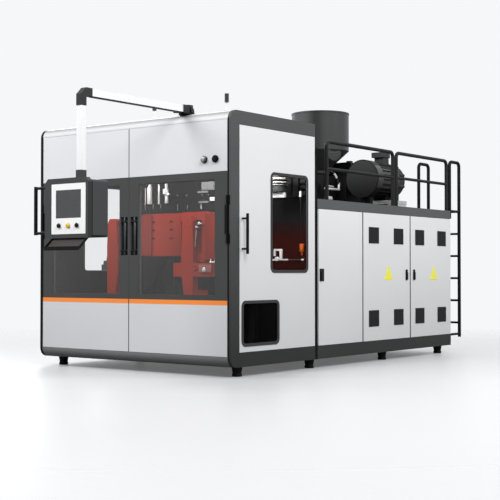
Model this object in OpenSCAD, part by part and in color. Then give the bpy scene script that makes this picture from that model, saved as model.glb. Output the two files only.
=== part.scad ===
// Blow moulding machine: front clamp housing, rear service unit with a
// railed extruder platform, and an operator panel on a swinging arm.
// Millimetres. +Z is up, -Y is the front, the origin is on the floor
// under the centre of the whole machine.

/* [Front housing] */
// Width across both side frames
housing_w = 2678; // [2500:1:2900]
// Depth of the front housing, without the bulkhead
housing_d = 1444; // [1420:1:1500]
// Height of the side frames above the floor
housing_top = 2600; // [2560:1:2700]
// Clearance under the machine, set by the feet
foot_h = 100; // [60:1:160]
// Thickness of a side frame
frame_t = 38; // [30:1:50]
// Width of the upright band of a side frame
frame_band = 137; // [110:1:160]
// Height of the upper band of a side frame
frame_top_band = 136; // [110:1:160]
// Height of the lower band of a side frame
frame_foot_band = 141; // [120:1:160]
// Radius of the rounded outer corners
frame_r = 95; // [60:1:110]
// Height of the sill under the front doors
sill_h = 104; // [80:1:130]
// Thickness of folded sheet parts
sheet_t = 3; // [2:0.5:4]
// Height of the lip of the roof above the front doors
cornice_h = 92; // [80:1:110]
// Thickness of the bulkhead behind the housing
bulkhead_t = 45; // [30:1:60]
// Drop of the bulkhead top below the roof
bulkhead_drop = 219; // [180:1:260]

/* [Front doors] */
// Thickness of a front door leaf
door_t = 40; // [30:1:50]
// Gap around every door
door_gap = 3; // [2:0.5:5]
// Width of the stile beside the meeting line
inner_stile = 137; // [125:1:160]
// Width of the stile on the hinge side
outer_stile = 161; // [120:1:200]
// Height of the window bottom above the floor
window_low = 800; // [780:1:860]
// Height of the window top above the floor
window_high = 1928; // [1880:1:1950]
// Top of the lower painted panel
lower_panel_top = 703; // [660:1:710]
// Height of the painted stripe
stripe_h = 45; // [30:1:55]
// Bottom of the upper painted panel
upper_panel_low = 2004; // [1980:1:2040]
// Thickness of the window panes
pane_t = 5; // [4:1:8]
// Bottom of the recessed pulls
pull_low = 1200; // [1150:1:1250]
// Length of the recessed pulls
pull_len = 396; // [300:1:420]
// Width of the recessed pulls
pull_w = 100; // [80:1:104]
// Bottom of the long hinges
hinge_low = 1298; // [1200:1:1350]
// Length of the long hinges
hinge_len = 470; // [300:1:500]

/* [Side doors] */
// Thickness of the side doors and cabinet doors
side_door_t = 24; // [20:1:30]
// Window start behind the front plane
side_window_y = 646; // [600:1:700]
// Distance from the window to the rear edge of the housing
side_window_rim = 133; // [110:1:180]
// Window bottom above the floor
side_window_low = 1017; // [980:1:1060]
// Window top above the floor
side_window_high = 2036; // [1900:1:2100]
// Lower window start behind the front plane
low_window_y = 169; // [165:1:220]
// Lower window width
low_window_w = 627; // [500:1:640]
// Lower window bottom above the floor
low_window_low = 296; // [280:1:340]
// Lower window top above the floor
low_window_high = 746; // [700:1:800]
// Width of the rubber frame round a window
seal_w = 30; // [20:1:36]
// Corner radius of the side windows
seal_r = 62; // [40:1:80]
// Distance of the grip from the side door
grip_out = 66; // [50:1:80]

/* [Rear unit] */
// End of the rear unit behind the front plane
rear_end = 4515; // [4470:1:4530]
// Seam between the first and the second cabinet door
seam_1 = 2401; // [2300:1:2500]
// Seam between the second and the third cabinet door
seam_2 = 3477; // [3400:1:3560]
// Height of the platform deck above the floor
deck_z = 1807; // [1780:1:1830]
// Height of the beam round the platform
beam_h = 104; // [90:1:120]
// Depth of the cabinets behind their doors
cabinet_depth = 640; // [500:1:700]
// Top of the railing above the deck
rail_h = 654; // [600:1:700]
// Diameter of the railing and ladder tubes
rail_d = 42; // [34:1:48]
// Distance between the two ladder stiles
ladder_w = 445; // [400:1:480]
// Distance between two rungs
rung_pitch = 287; // [270:1:295]

/* [Extruder] */
// Height of the barrel above the floor
barrel_z = 2120; // [2100:1:2160]
// Distance of the hopper behind the front plane
hopper_y = 3537; // [3500:1:3570]
// Outer radius of the hopper
hopper_r = 365; // [300:1:380]
// Height of the hopper rim above the floor
hopper_top = 3050; // [3000:1:3100]
// Height of the hopper cone
hopper_cone_h = 249; // [220:1:280]
// Outer radius of the barrel
barrel_r = 70; // [65:1:80]
// Radius of the screw
screw_r = 45; // [35:1:48]
// Sideways offset of the drive motor
motor_x = 739; // [720:1:760]
// Height of the drive motor axis above the floor
motor_z = 2176; // [2170:1:2200]
// Radius of the motor fan cowl
motor_r = 233; // [200:1:236]

/* [Clamp unit] */
// Distance of the parting plane behind the front plane
parting_y = 720; // [700:1:740]
// Width of the platens
platen_w = 560; // [500:1:600]
// Height of the platens
platen_h = 454; // [420:1:480]
// Bottom of the platens above the floor
platen_low = 1196; // [1180:1:1210]
// Thickness of the platens
platen_t = 90; // [70:1:100]
// Thickness of one mould half
mould_t = 132; // [110:1:140]

/* [Operator panel] */
// Sideways place of the arm
arm_x = 709; // [680:1:740]
// Distance of the roof pivot behind the front plane
pivot_y = 90; // [85:1:120]
// Reach of the arm from the roof pivot to the drop tube
arm_reach = 1462; // [1455:1:1500]
// Width of the arm and drop tubes
arm_tube_w = 60; // [50:1:70]
// Height of the panel box bottom above the floor
panel_low = 1326; // [1280:1:1380]
// Height of the panel box
panel_h = 534; // [500:1:560]
// Width of the panel box
panel_w = 557; // [520:1:560]
// Depth of the front bezel of the panel box
bezel_d = 50; // [40:1:60]
// Distance of the panel face in front of the drop tube
panel_front = 180; // [170:1:182]
// Reach of the tray in front of the panel face
tray_reach = 88; // [60:1:100]

/* [Hidden] */
$fn = 48;
eps = 0.01;
hw = housing_w / 2;
inner_w = hw - frame_t;
drop_y = pivot_y - arm_reach;
face_y = drop_y - panel_front;
lip_y = face_y - tray_reach;
ladder_y = rear_end + 285;
machine_back = ladder_y + rail_d / 2;
front_y = -(lip_y + machine_back) / 2;
frame_in_low = foot_h + frame_foot_band;
frame_in_high = housing_top - frame_top_band;
sill_top = foot_h + sill_h;
door_top = housing_top - cornice_h;
bulkhead_top = housing_top - bulkhead_drop;
rear_start = housing_d + bulkhead_t;
unit_low = frame_in_low - 1;
beam_low = deck_z - beam_h;
// Small running clearance between parts that move past each other
slip = 0.4;
// Running clearance of a pin in its bore
pin_slip = 0.3;
bolt_r = 6;

// Flat shapes in the planes of the machine

module rect(x0, y0, x1, y1) {
    translate([x0, y0]) square([x1 - x0, y1 - y0]);
}

module rrect(x0, y0, x1, y1, r) {
    rect(x0 + r, y0, x1 - r, y1);
    rect(x0, y0 + r, x1, y1 - r);
    for (x = [x0 + r, x1 - r], y = [y0 + r, y1 - r]) translate([x, y]) circle(r);
}

// A flat shape drawn in Y and Z, given thickness along X
module slab_x(x0, x1) {
    translate([x0, 0, 0]) rotate([90, 0, 90]) linear_extrude(x1 - x0) children();
}

// A flat shape drawn in X and Z, given thickness along Y
module slab_y(y0, y1) {
    translate([0, y1, 0]) rotate([90, 0, 0]) linear_extrude(y1 - y0) children();
}

// A flat shape drawn in X and Y, given thickness along Z
module slab_z(z0, z1) {
    translate([0, 0, z0]) linear_extrude(z1 - z0) children();
}

module block(x0, y0, z0, x1, y1, z1) {
    translate([x0, y0, z0]) cube([x1 - x0, y1 - y0, z1 - z0]);
}

module rod_x(x0, x1, y, z, r) {
    translate([x0, y, z]) rotate([0, 90, 0]) cylinder(h = x1 - x0, r = r);
}

module rod_y(y0, y1, x, z, r) {
    translate([x, y1, z]) rotate([90, 0, 0]) cylinder(h = y1 - y0, r = r);
}

module rod_z(z0, z1, x, y, r) {
    translate([x, y, z0]) cylinder(h = z1 - z0, r = r);
}

// Moves the front plane of the housing to its place in the machine frame
module placed() {
    translate([0, front_y, 0]) children();
}

module both_sides() {
    children();
    mirror([1, 0, 0]) children();
}

// Side frames

module side_outline() {
    rrect(0, foot_h, 4 * frame_r, housing_top, frame_r);
    rect(2 * frame_r, foot_h, housing_d, housing_top);
}

pivot_inset = 20;
side_pivot_y = housing_d - 2 * door_gap - pivot_inset;
leaf_mid_x = hw - side_door_t / 2;
pivot_pin_len = 24;

module side_frame() {
    inner_r = 6;
    slab_x(inner_w, hw) difference() {
        side_outline();
        rrect(frame_band, frame_in_low, housing_d / 2, frame_in_high, inner_r);
        rect(housing_d / 3, frame_in_low, housing_d + 1, frame_in_high);
    }
    rod_z(frame_in_low - 1, frame_in_low + pivot_pin_len, leaf_mid_x, side_pivot_y, bolt_r);
    rod_z(frame_in_high - pivot_pin_len, frame_in_high + 1, leaf_mid_x, side_pivot_y, bolt_r);
    front_hinge_fixed();
}

module side_frame_right() {
    color([0.30, 0.31, 0.32]) placed() side_frame();
}

module side_frame_left() {
    color([0.30, 0.31, 0.32]) placed() mirror([1, 0, 0]) side_frame();
}

// Long hinges of the front doors: fixed knuckles at both ends with a pin

hinge_r = 9;
hinge_pin_r = 4;
hinge_x = inner_w - door_gap / 2;
hinge_y = -hinge_r - 2;
knuckle_len = hinge_len / 5;
hinge_high = hinge_low + hinge_len;

module front_hinge_fixed() {
    for (z = [hinge_low, hinge_high - knuckle_len]) {
        rod_z(z, z + knuckle_len, hinge_x, hinge_y, hinge_r);
        block(hinge_x, -3, z, hw - 6, eps, z + knuckle_len);
    }
    rod_z(hinge_low, hinge_high, hinge_x, hinge_y, hinge_pin_r);
}

module front_hinge_moving() {
    z0 = hinge_low + knuckle_len + slip;
    z1 = hinge_high - knuckle_len - slip;
    difference() {
        union() {
            rod_z(z0, z1, hinge_x, hinge_y, hinge_r);
            block(hinge_x - 34, -3, z0, hinge_x - 2, eps, z1);
        }
        rod_z(z0 - 1, z1 + 1, hinge_x, hinge_y, hinge_pin_r + pin_slip);
    }
}

// Welded base with the front sill, floor plate and cross members

floor_top = sill_top - 2;
floor_t = 12;

module base_bed() {
    color([0.24, 0.25, 0.26]) placed() {
        slab_x(-inner_w, inner_w) difference() {
            rrect(0, foot_h, 4 * frame_r, sill_top + 2 * frame_r, frame_r);
            rect(-1, sill_top, 5 * frame_r, housing_top);
            difference() {
                rrect(8, foot_h + 8, 4 * frame_r, sill_top + 2 * frame_r, frame_r - 8);
                rect(2 * frame_r, 0, 5 * frame_r, foot_h + 8);
            }
            rect(2.5 * frame_r, foot_h - 1, 5 * frame_r, sill_top + 1);
        }
        block(-inner_w, 7, floor_top - floor_t, inner_w, housing_d, floor_top);
        for (x = [-inner_w, -420, 360, inner_w - 60])
            block(x, 2 * frame_r, foot_h, x + 60, housing_d, floor_top - floor_t + eps);
        block(-inner_w, housing_d - 80, foot_h, inner_w, housing_d, floor_top);
    }
}

// Roof with a rounded front lip and a rear flange

module roof_outline(i) {
    rrect(i, bulkhead_top - 3 * frame_r, 4 * frame_r, housing_top - i, frame_r - i);
    rect(2 * frame_r, bulkhead_top - (i > 0 ? 9 : 0), housing_d - i, housing_top - i);
}

module roof_cover() {
    color([0.88, 0.89, 0.90]) placed() {
        slab_x(-inner_w, inner_w) difference() {
            roof_outline(0);
            roof_outline(sheet_t);
            rect(-1, 0, 5 * frame_r, door_top);
            rect(-1, 0, housing_d - 2 * sheet_t, bulkhead_top);
        }
        for (y = [0.35, 0.7] * housing_d)
            block(-inner_w, y, housing_top - 40, inner_w, y + 30, housing_top - sheet_t + eps);
    }
}

// Bulkhead between the front housing and the rear unit

bulkhead_r = 50;

module rear_bulkhead() {
    color([0.17, 0.18, 0.19]) placed() difference() {
        slab_y(housing_d, rear_start) {
            rrect(-hw, bulkhead_top - 400, hw, bulkhead_top, bulkhead_r);
            rect(-hw, foot_h, hw, bulkhead_top - 200);
        }
        slab_y(housing_d + 6, rear_start + 1) {
            rrect(-hw + 70, unit_low, -30, bulkhead_top - 60, 20);
            rrect(30, unit_low, hw - 70, bulkhead_top - 60, 20);
        }
        rod_y(housing_d - 1, rear_start + 1, 0, barrel_z, barrel_r + 60);
    }
}

// Levelling feet

foot_front_y = 245;
foot_rows = [foot_front_y, rear_start + 7, 0.5 * (rear_start + rear_end), rear_end - 150];
foot_x = hw - 114;

module foot() {
    rotate_extrude() polygon([[0, 0], [46, 0], [50, 6], [50, 22], [44, 30],
        [56, foot_h], [0, foot_h]]);
}

module levelling_feet() {
    color([0.08, 0.08, 0.09]) placed()
        for (x = [-foot_x, foot_x], y = foot_rows) translate([x, y, 0]) foot();
}

// Roof fittings

module roof_pivot() {
    color([0.12, 0.12, 0.13]) placed() translate([arm_x, pivot_y, housing_top]) {
        cylinder(h = 12, r = 84);
        cylinder(h = 90, r = 28);
    }
}

beacon_y = 96;
beacon_x = [263, 1214];

module roof_beacons() {
    color([0.12, 0.12, 0.13]) placed() for (x = beacon_x) {
        rod_z(housing_top, housing_top + 82, x, beacon_y, 7);
        rod_z(housing_top + 81, housing_top + 169, x, beacon_y, 21);
        rod_z(housing_top, housing_top + 6, x, beacon_y, 24);
    }
}

// Clamp bed with two linear rails and the guide of the blow pin

rail_x = 545;
rail_top = 786.6;
bed_top = 740;
bed_y0 = 130;
bed_y1 = housing_d - 20;
guide_low = 880;
guide_r = 20;

module clamp_bed() {
    color([0.22, 0.23, 0.24]) placed() {
        block(-640, bed_y0, bed_top - 50, -450, bed_y1, bed_top);
        block(450, bed_y0, bed_top - 50, 640, bed_y1, bed_top);
        block(-640, cylinder_y0 + 40, bed_top - 50, 640, bed_y1, bed_top);
        for (x = [-620, 540], y = [bed_y0 + 20, parting_y - 40, bed_y1 - 100])
            block(x, y, floor_top, x + 80, y + 80, bed_top - 49);
        for (x = [-rail_x, rail_x]) slab_y(bed_y0 + 10, bed_y1 - 10)
            polygon([[x - 40, bed_top - 1], [x + 40, bed_top - 1], [x + 40, rail_top],
                [x + 26, rail_top], [x + 26, rail_top - 14], [x - 26, rail_top - 14],
                [x - 26, rail_top], [x - 40, rail_top]]);
        difference() {
            union() {
                block(-640, parting_y - 90, bed_top - 50, 640, parting_y + 90, bed_top);
                block(-60, parting_y - 60, bed_top - 1, 60, parting_y + 60, guide_low);
            }
            rod_z(bed_top - 60, guide_low + 1, 0, parting_y, guide_r + pin_slip);
        }
    }
}

// Hydraulic cylinder that moves the rear platen

platen_mid_z = platen_low + platen_h / 2;
clamp_gap = 0.4;
clamp_stroke = 180;
rear_plate_y0 = parting_y + clamp_gap / 2 + mould_t;
rear_plate_y1 = rear_plate_y0 + platen_t;
cylinder_y0 = rear_plate_y1 + clamp_stroke + 20;
cylinder_y1 = housing_d - 12;
ram_r = 30;

module clamp_cylinder() {
    color([0.30, 0.31, 0.33]) placed() {
        difference() {
            union() {
                rod_y(cylinder_y0, cylinder_y1, 0, platen_mid_z, 78);
                rod_y(cylinder_y0, cylinder_y0 + 40, 0, platen_mid_z, 96);
                rod_y(cylinder_y1 - 30, cylinder_y1, 0, platen_mid_z, 96);
            }
            rod_y(cylinder_y0 - 1, cylinder_y1 - 20, 0, platen_mid_z, ram_r + pin_slip);
        }
        difference() {
            slab_y(cylinder_y0 + 60, cylinder_y0 + 100)
                polygon([[-260, bed_top], [260, bed_top], [120, platen_mid_z + 110],
                    [-120, platen_mid_z + 110]]);
            rod_y(cylinder_y0, cylinder_y1, 0, platen_mid_z, 77);
        }
    }
}

// Beam that carries the die head from the two side frames

module head_beam() {
    color([0.24, 0.25, 0.26]) placed() {
        block(-inner_w, parting_y - 70, frame_in_high + 6, inner_w, parting_y + 70,
            frame_in_high + 96);
        for (x = [-150, 122])
            block(x, parting_y - 60, head_top, x + 28, parting_y + 60, frame_in_high + 7);
        block(-150, parting_y - 80, head_top, 150, parting_y + 80, head_top + 24);
    }
}

// Die head that lets the molten tube down between the mould halves

head_top = 2260;
head_low = 1790;
head_r = 122 - slip;
lip_low = platen_low + platen_h + 70;

module die_head() {
    color([0.45, 0.45, 0.46]) placed() translate([0, parting_y, 0]) {
        rotate_extrude() polygon([[14, lip_low], [52, lip_low], [60, lip_low + 8], [60, head_low],
            [96, head_low], [head_r, head_low + 26], [head_r, head_top], [0, head_top],
            [0, lip_low + 90], [14, lip_low + 90]]);
        rod_y(head_r - 20, head_r + 128, 0, barrel_z, 80);
    }
}

adapter_y = parting_y + head_r + 128;

// Heater bands on the head and on the barrel

band_len = 210;
band_pitch = 270;
band_t = 14;
head_band_h = 90;
band_y = [for (i = [0:7]) adapter_y + 120 + i * band_pitch];

module heater_bands() {
    color([0.78, 0.78, 0.77]) placed() {
        for (z = [head_low + 34, head_low + 146]) translate([0, parting_y, z]) difference() {
            cylinder(h = head_band_h, r = head_r + band_t);
            translate([0, 0, -1]) cylinder(h = head_band_h + 2, r = head_r);
        }
        for (y = band_y) difference() {
            rod_y(y, y + band_len, 0, barrel_z, barrel_r + band_t);
            rod_y(y - 1, y + band_len + 1, 0, barrel_z, barrel_r);
        }
    }
}

// Barrel with its feed casting under the hopper

feed_w = 140;
feed_y0 = hopper_y - 137;
feed_y1 = hopper_y + 137;
throat_r = 90;
throat_z = barrel_z + 165;
bore_r = screw_r + 1;

module extruder_barrel() {
    color([0.36, 0.37, 0.38]) placed() difference() {
        union() {
            rod_y(adapter_y, feed_y0 + 1, 0, barrel_z, barrel_r);
            rod_y(adapter_y, adapter_y + 50, 0, barrel_z, barrel_r + 34);
            block(-feed_w, feed_y0, barrel_z - 150, feed_w, feed_y1, barrel_z + 130);
            rod_z(barrel_z + 129, throat_z, 0, hopper_y, throat_r + 12);
        }
        rod_y(adapter_y + 60, feed_y1 + 1, 0, barrel_z, bore_r);
        rod_z(barrel_z, throat_z + 1, 0, hopper_y, throat_r - 20);
    }
}

// Screw inside the barrel: root, tip, flight and drive shank

screw_y0 = adapter_y + 75;
screw_y1 = feed_y1 + 6;
flight_pitch = 200;
flight_turns = floor((screw_y1 - screw_y0 - 300) / flight_pitch);

module extruder_screw() {
    root = screw_r - 17;
    flight_len = flight_turns * flight_pitch;
    color([0.70, 0.70, 0.70]) placed() translate([0, screw_y0, barrel_z]) rotate([-90, 0, 0]) {
        cylinder(h = 80, r1 = 4, r2 = root - 4, $fn = 16);
        translate([0, 0, 60]) linear_extrude(flight_len, twist = -360 * flight_turns,
            slices = 8 * flight_turns, $fn = 7) polygon([[screw_r - 1, -6], [screw_r - 1, 6],
                [root - 2, 12], [0, root], [-root, 0], [0, -root], [root - 2, -12]]);
        translate([0, 0, 60 + flight_len - 40])
            cylinder(h = screw_y1 - screw_y0 - flight_len - 20, r = screw_r, $fn = 32);
    }
}

// Hopper: round wall, cone, throat flange, rim bead and clean-out port

hopper_t = 4;
hopper_foot_z = throat_z + 34;
hopper_cone_z = hopper_foot_z + hopper_cone_h;
port_z = hopper_cone_z - 48;

module hopper_shell(i) {
    polygon([[0, throat_z - (i > 0 ? 1 : 0)], [throat_r - i, throat_z - (i > 0 ? 1 : 0)],
        [throat_r - i, hopper_foot_z], [hopper_r - i, hopper_cone_z],
        [hopper_r - i, hopper_top + (i > 0 ? 1 : 0)], [0, hopper_top + (i > 0 ? 1 : 0)]]);
}

module hopper() {
    color([0.27, 0.28, 0.29]) placed() translate([0, hopper_y, 0]) difference() {
        union() {
            rotate_extrude($fn = 96) hopper_shell(0);
            translate([0, 0, throat_z]) cylinder(h = 12, r = throat_r + 34);
            translate([0, 0, hopper_top - 18]) cylinder(h = 18, r = hopper_r + 5, $fn = 96);
            rotate([0, 0, -25]) rod_x(120, 330, 0, port_z, 88);
        }
        rotate_extrude($fn = 96) hopper_shell(hopper_t);
        rotate([0, 0, -25]) rod_x(100, 322, 0, port_z, 80);
    }
}

// Reduction gearbox with a side case that carries the drive motor

box_z0 = deck_z + 60;
box_w = 300;
box_top = barrel_z + 320;
lug_w = 60;
lug_top = box_top + 18;
nose_top = hopper_foot_z + 20;
cone_run = (hopper_r - throat_r) / hopper_cone_h;
body_y0 = hopper_y + throat_r + cone_run * (lug_top - hopper_foot_z) + 14;
gear_y1 = rear_end - 115;
case_y0 = 3880;
case_t = 160;
case_y1 = case_y0 + case_t;
case_foot_w = 240;
motor_y0 = 3353;

module gearbox() {
    color([0.16, 0.17, 0.18]) placed() {
        slab_y(feed_y1 + 8, body_y0 + 1) rrect(-box_w, box_z0, box_w, nose_top, 40);
        slab_y(body_y0, gear_y1) rrect(-box_w, box_z0, box_w, box_top, 40);
        slab_y(case_y0, case_y1) {
            rect(box_w - 60, motor_z - 150, motor_x, motor_z + 150);
            translate([motor_x, motor_z]) circle(motor_r - 25);
            rect(motor_x - case_foot_w / 2, base_top, motor_x + case_foot_w / 2, motor_z);
        }
        for (a = [20:40:340]) translate([motor_x, 0, motor_z]) rotate([0, a, 0])
            rod_y(case_y0 + 20, case_y1 - 10, motor_r - 30, 0, 22);
        for (x = [-box_w + 30, box_w - 30 - lug_w], y = [body_y0 + 30, gear_y1 - 30 - lug_w])
            block(x, y, box_z0, x + lug_w, y + lug_w, lug_top);
        difference() {
            rod_y(feed_y1, feed_y1 + 9, 0, barrel_z, 150);
            rod_y(feed_y1 - 1, feed_y1 + 7, 0, barrel_z, screw_r + 2);
        }
    }
}

// Drive motor: finned body, fan cowl and terminal box

fin_count = 24;
cowl_len = 130;
cowl_t = 6;
cowl_y1 = motor_y0 + cowl_len;
terminal_y0 = case_y0 - 180;
terminal_len = 200;
terminal_w = 170;
terminal_top = motor_r + 117;
terminal_lid = 62;

module drive_motor() {
    color([0.14, 0.15, 0.16]) placed() translate([motor_x, 0, motor_z]) {
        rod_y(motor_y0 + cowl_t, case_y0, 0, 0, motor_r - 40);
        rod_y(case_y0 - 44, case_y0, 0, 0, motor_r - 8);
        for (i = [0:fin_count - 1]) rotate([0, i * 360 / fin_count, 0])
            block(-3, cowl_y1 + 6, motor_r - 46, 3, case_y0 - 60, motor_r - 12);
        difference() {
            rod_y(motor_y0, cowl_y1, 0, 0, motor_r);
            rod_y(motor_y0 + cowl_t + 1, cowl_y1 + 1, 0, 0, motor_r - cowl_t);
        }
        block(-terminal_w / 2 + 26, terminal_y0 + 44, motor_r - 50, terminal_w / 2 - 14,
            case_y0 - 4, terminal_top - terminal_lid + 1);
        slab_z(terminal_top - terminal_lid, terminal_top)
            rrect(-terminal_w / 2, terminal_y0, terminal_w / 2, terminal_y0 + terminal_len, 22);
        for (x = [-motor_foot_out, motor_foot_out - motor_foot_w])
            block(x, plinth_y0 + 10, base_top - motor_z, x + motor_foot_w, case_y0 - 20, -150);
        block(-2 * motor_foot_w, cowl_y1 + 20, deck_z - motor_z, -20, cowl_y1 + 90, -140);
    }
}

// Base rails under the motor and the gearbox, and the barrel saddle

base_top = deck_z + 117;
base_plate_t = 42;
base_rail_w = 70;
motor_foot_w = 60;
motor_foot_out = 85;
plinth_x0 = motor_x - 89;
plinth_x1 = motor_x + 200;
plinth_y0 = 3757;
plinth_run = 60;
saddle_w = 220;

module drive_base() {
    color([0.80, 0.80, 0.79]) placed() {
        block(plinth_x0, plinth_y0, base_top - base_plate_t, plinth_x1,
            case_y1 + plinth_run, base_top);
        for (x = [plinth_x0 + 4, plinth_x1 - base_rail_w - 4])
            block(x, plinth_y0 + 4, deck_z, x + base_rail_w, case_y1 + plinth_run - 4,
                base_top - base_plate_t + 1);
        for (x = [-box_w + 10, box_w - 20 - base_rail_w])
            block(x, feed_y1 + 20, deck_z, x + base_rail_w + 10, gear_y1 - 20, box_z0);
        difference() {
            slab_y(band_y[3] + band_len + 5, band_y[4] - 5) polygon([[-saddle_w, deck_z],
                [saddle_w, deck_z], [barrel_r + 50, barrel_z], [-barrel_r - 50, barrel_z]]);
            rod_y(band_y[3], band_y[4], 0, barrel_z, barrel_r);
        }
        block(-feed_w, feed_y0 + 20, deck_z, feed_w, feed_y1 - 20, barrel_z - 150);
    }
}

// Base of the rear unit: ring, bearers of the power pack and of the cabinets, lower door pins

post = 60;
post_x = hw - side_door_t - 12;
post_y = [rear_start, seam_1 - post / 2, seam_2 - post / 2, rear_end - side_door_t - 12 - post];
ring_side = 110;
ring_front = 60;
ring_y0 = rear_start + ring_front;
ring_y1 = rear_end - ring_side;

module frame_ring(z0, z1) {
    slab_z(z0, z1) difference() {
        rect(-hw, rear_start, hw, rear_end);
        rect(-hw + ring_side, ring_y0, hw - ring_side, ring_y1);
    }
}

module rear_base() {
    color([0.28, 0.29, 0.30]) placed() {
        frame_ring(foot_h, unit_low);
        block(pack_x1 - post, ring_y0 - 1, foot_h, pack_x1, ring_y1 + 1, tank_low);
        for (y = [pack_y0 + 100, pack_y1 - 100 - post])
            block(-hw + ring_side - 1, y, foot_h, pack_x1 - post + 1, y + post, tank_low);
        block(shell_x0, ring_y0 - 1, unit_low - post, shell_x0 + post, ring_y1 + 1, unit_low);
        for (d = cabinet_doors)
            rod_z(unit_low - 1, unit_low + pivot_pin_len, leaf_mid_x, d[2], bolt_r);
    }
}

// Eight posts between the base and the platform

module rear_posts() {
    color([0.28, 0.29, 0.30]) placed() for (s = [-1, 1], y = post_y)
        translate([s * (post_x - post / 2) - post / 2, y, unit_low])
            cube([post, post, beam_low - unit_low]);
}

// Platform: ring beam, cross beams, deck plate with drain slots, upper door pins

deck_t = 7;

module platform_deck() {
    color([0.31, 0.32, 0.33]) placed() {
        frame_ring(beam_low, deck_z - deck_t + eps);
        for (y = [seam_1, seam_2])
            block(-hw + ring_side - 1, y - 40, beam_low + 10, hw - ring_side + 1, y + 40,
                deck_z - deck_t + eps);
        difference() {
            block(-hw, rear_start, deck_z - deck_t, hw, rear_end, deck_z);
            for (x = [-0.62, 0.12] * hw, y = [0.2, 0.5] * (rear_end - rear_start))
                block(x, rear_start + y, deck_z - deck_t - 1, x + 30, rear_start + y + 120,
                    deck_z + 1);
        }
        for (d = cabinet_doors)
            rod_z(beam_low - pivot_pin_len, beam_low + 1, leaf_mid_x, d[2], bolt_r);
    }
}

// Tube loops: a quarter bend, and a loop in a plane of constant X

module bend(r, d) {
    rotate_extrude(angle = 90) translate([r, 0]) circle(d / 2);
}

module tube_hoop(x, y0, y1, z0, z1, top, r) {
    d = rail_d;
    rod_z(z0, top - r, x, y0, d / 2);
    rod_z(z1, top - r, x, y1, d / 2);
    rod_y(y0 + r, y1 - r, x, top, d / 2);
    translate([x, y0 + r, top - r]) rotate([90, 0, -90]) bend(r, d);
    translate([x, y1 - r, top - r]) rotate([90, 0, 90]) bend(r, d);
}

rail_side_x = hw - rail_d / 2 - 4;
rail_top_z = deck_z + rail_h - rail_d / 2;
rail_mid_z = deck_z + 338;
rail_bend = 55;
rail_panels = [[rear_start + 216, 3110], [3192, rear_end - 65]];

module railings() {
    color([0.16, 0.17, 0.18]) placed() both_sides() for (p = rail_panels) {
        tube_hoop(rail_side_x, p[0], p[1], deck_z, deck_z, rail_top_z, rail_bend);
        rod_y(p[0], p[1], rail_side_x, rail_mid_z, rail_d / 2 - 3);
        for (y = p) rod_z(deck_z, deck_z + 6, rail_side_x - 14, y, 34);
    }
}

// Ladder with walk-through hoops at its top

ladder_leg_y = rear_end + rail_d / 2 + 4;
ladder_x = hw - rail_d / 2 - 4;
ladder_low = 190;
rung_z = [for (i = [0:5]) 374 + i * rung_pitch];

module ladder() {
    color([0.16, 0.17, 0.18]) placed() {
        for (x = [ladder_x, ladder_x - ladder_w]) {
            tube_hoop(x, ladder_leg_y, ladder_y, beam_low + 10, ladder_low, rail_top_z, rail_bend);
            rod_y(ladder_leg_y, ladder_y, x, deck_z, rail_d / 2 - 4);
            rod_y(rear_end - 1 + 1, ladder_leg_y, x, beam_low + 40, 15);
        }
        for (z = rung_z) rod_x(ladder_x - ladder_w, ladder_x, ladder_y, z, 14);
        for (x = [ladder_x, ladder_x - ladder_w])
            rod_y(rear_end, ladder_y, x, foot_h + 130, 15);
    }
}

// Cabinet housings behind the three doors

shell_x0 = post_x - cabinet_depth;
shell_x1 = post_x - post - 2;

module cabinet_shell() {
    t = sheet_t;
    color([0.75, 0.76, 0.77]) placed() difference() {
        block(shell_x0, rear_start + 62, unit_low, shell_x1, rear_end - 62, beam_low);
        for (c = [[rear_start + 62, seam_1], [seam_1, seam_2], [seam_2, rear_end - 62]])
            block(shell_x0 + t, c[0] + t, unit_low + t, shell_x1 + 1, c[1] - t, beam_low - t);
    }
}

// Fixed panels on the left side and the back of the rear unit

module rear_panels() {
    color([0.87, 0.88, 0.89]) placed() {
        for (d = cabinet_doors) block(-hw, d[0], unit_low + door_gap, -hw + side_door_t,
            d[1], beam_low - door_gap);
        for (x = [[-hw + side_door_t + 20, -4], [4, hw - side_door_t - 20]])
            block(x[0], rear_end - side_door_t, unit_low + door_gap, x[1], rear_end,
                beam_low - door_gap);
        for (d = cabinet_doors, y = [[d[0] + 2, d[0] + 24], [d[1] - 60, d[1] - 2]])
            block(-hw + side_door_t - eps, y[0], unit_low + 60, -post_x, y[1], beam_low - 60);
        for (x = [-post_x + 10, post_x - 50])
            block(x, rear_end - side_door_t - 12, unit_low + 60, x + 40,
                rear_end - side_door_t + eps, beam_low - 60);
    }
}

// Hydraulic power pack behind the left panels: tank, motor and pump

pack_x0 = -hw + ring_side + 2;
pack_x1 = -400;
pack_y0 = rear_start + 211;
pack_y1 = 2900;
tank_low = foot_h + 60;
tank_top = 700;
pump_x = -800;
pump_z = 850;
pump_r = 150;
pump_y0 = pack_y0 + 200;
pump_len = 350;

module power_pack() {
    color([0.25, 0.35, 0.42]) placed() {
        block(pack_x0, pack_y0, tank_low, pack_x1, pack_y1, tank_top);
        rod_y(pump_y0, pump_y0 + pump_len, pump_x, pump_z, pump_r);
        block(pump_x - 100, pump_y0, tank_top - 1, pump_x + 100, pump_y0 + pump_len,
            tank_top + 60);
        rod_y(pump_y0 + pump_len - 1, pump_y0 + pump_len + 250, pump_x, pump_z, pump_r - 70);
    }
}

// Mounting plates with contactors and drives in the cabinets

gear_h = 1150;
gear_inset = 60;
gear_plate_t = 6;
device_h = 180;
device_pitch = 340;
duct_w = 40;

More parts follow.
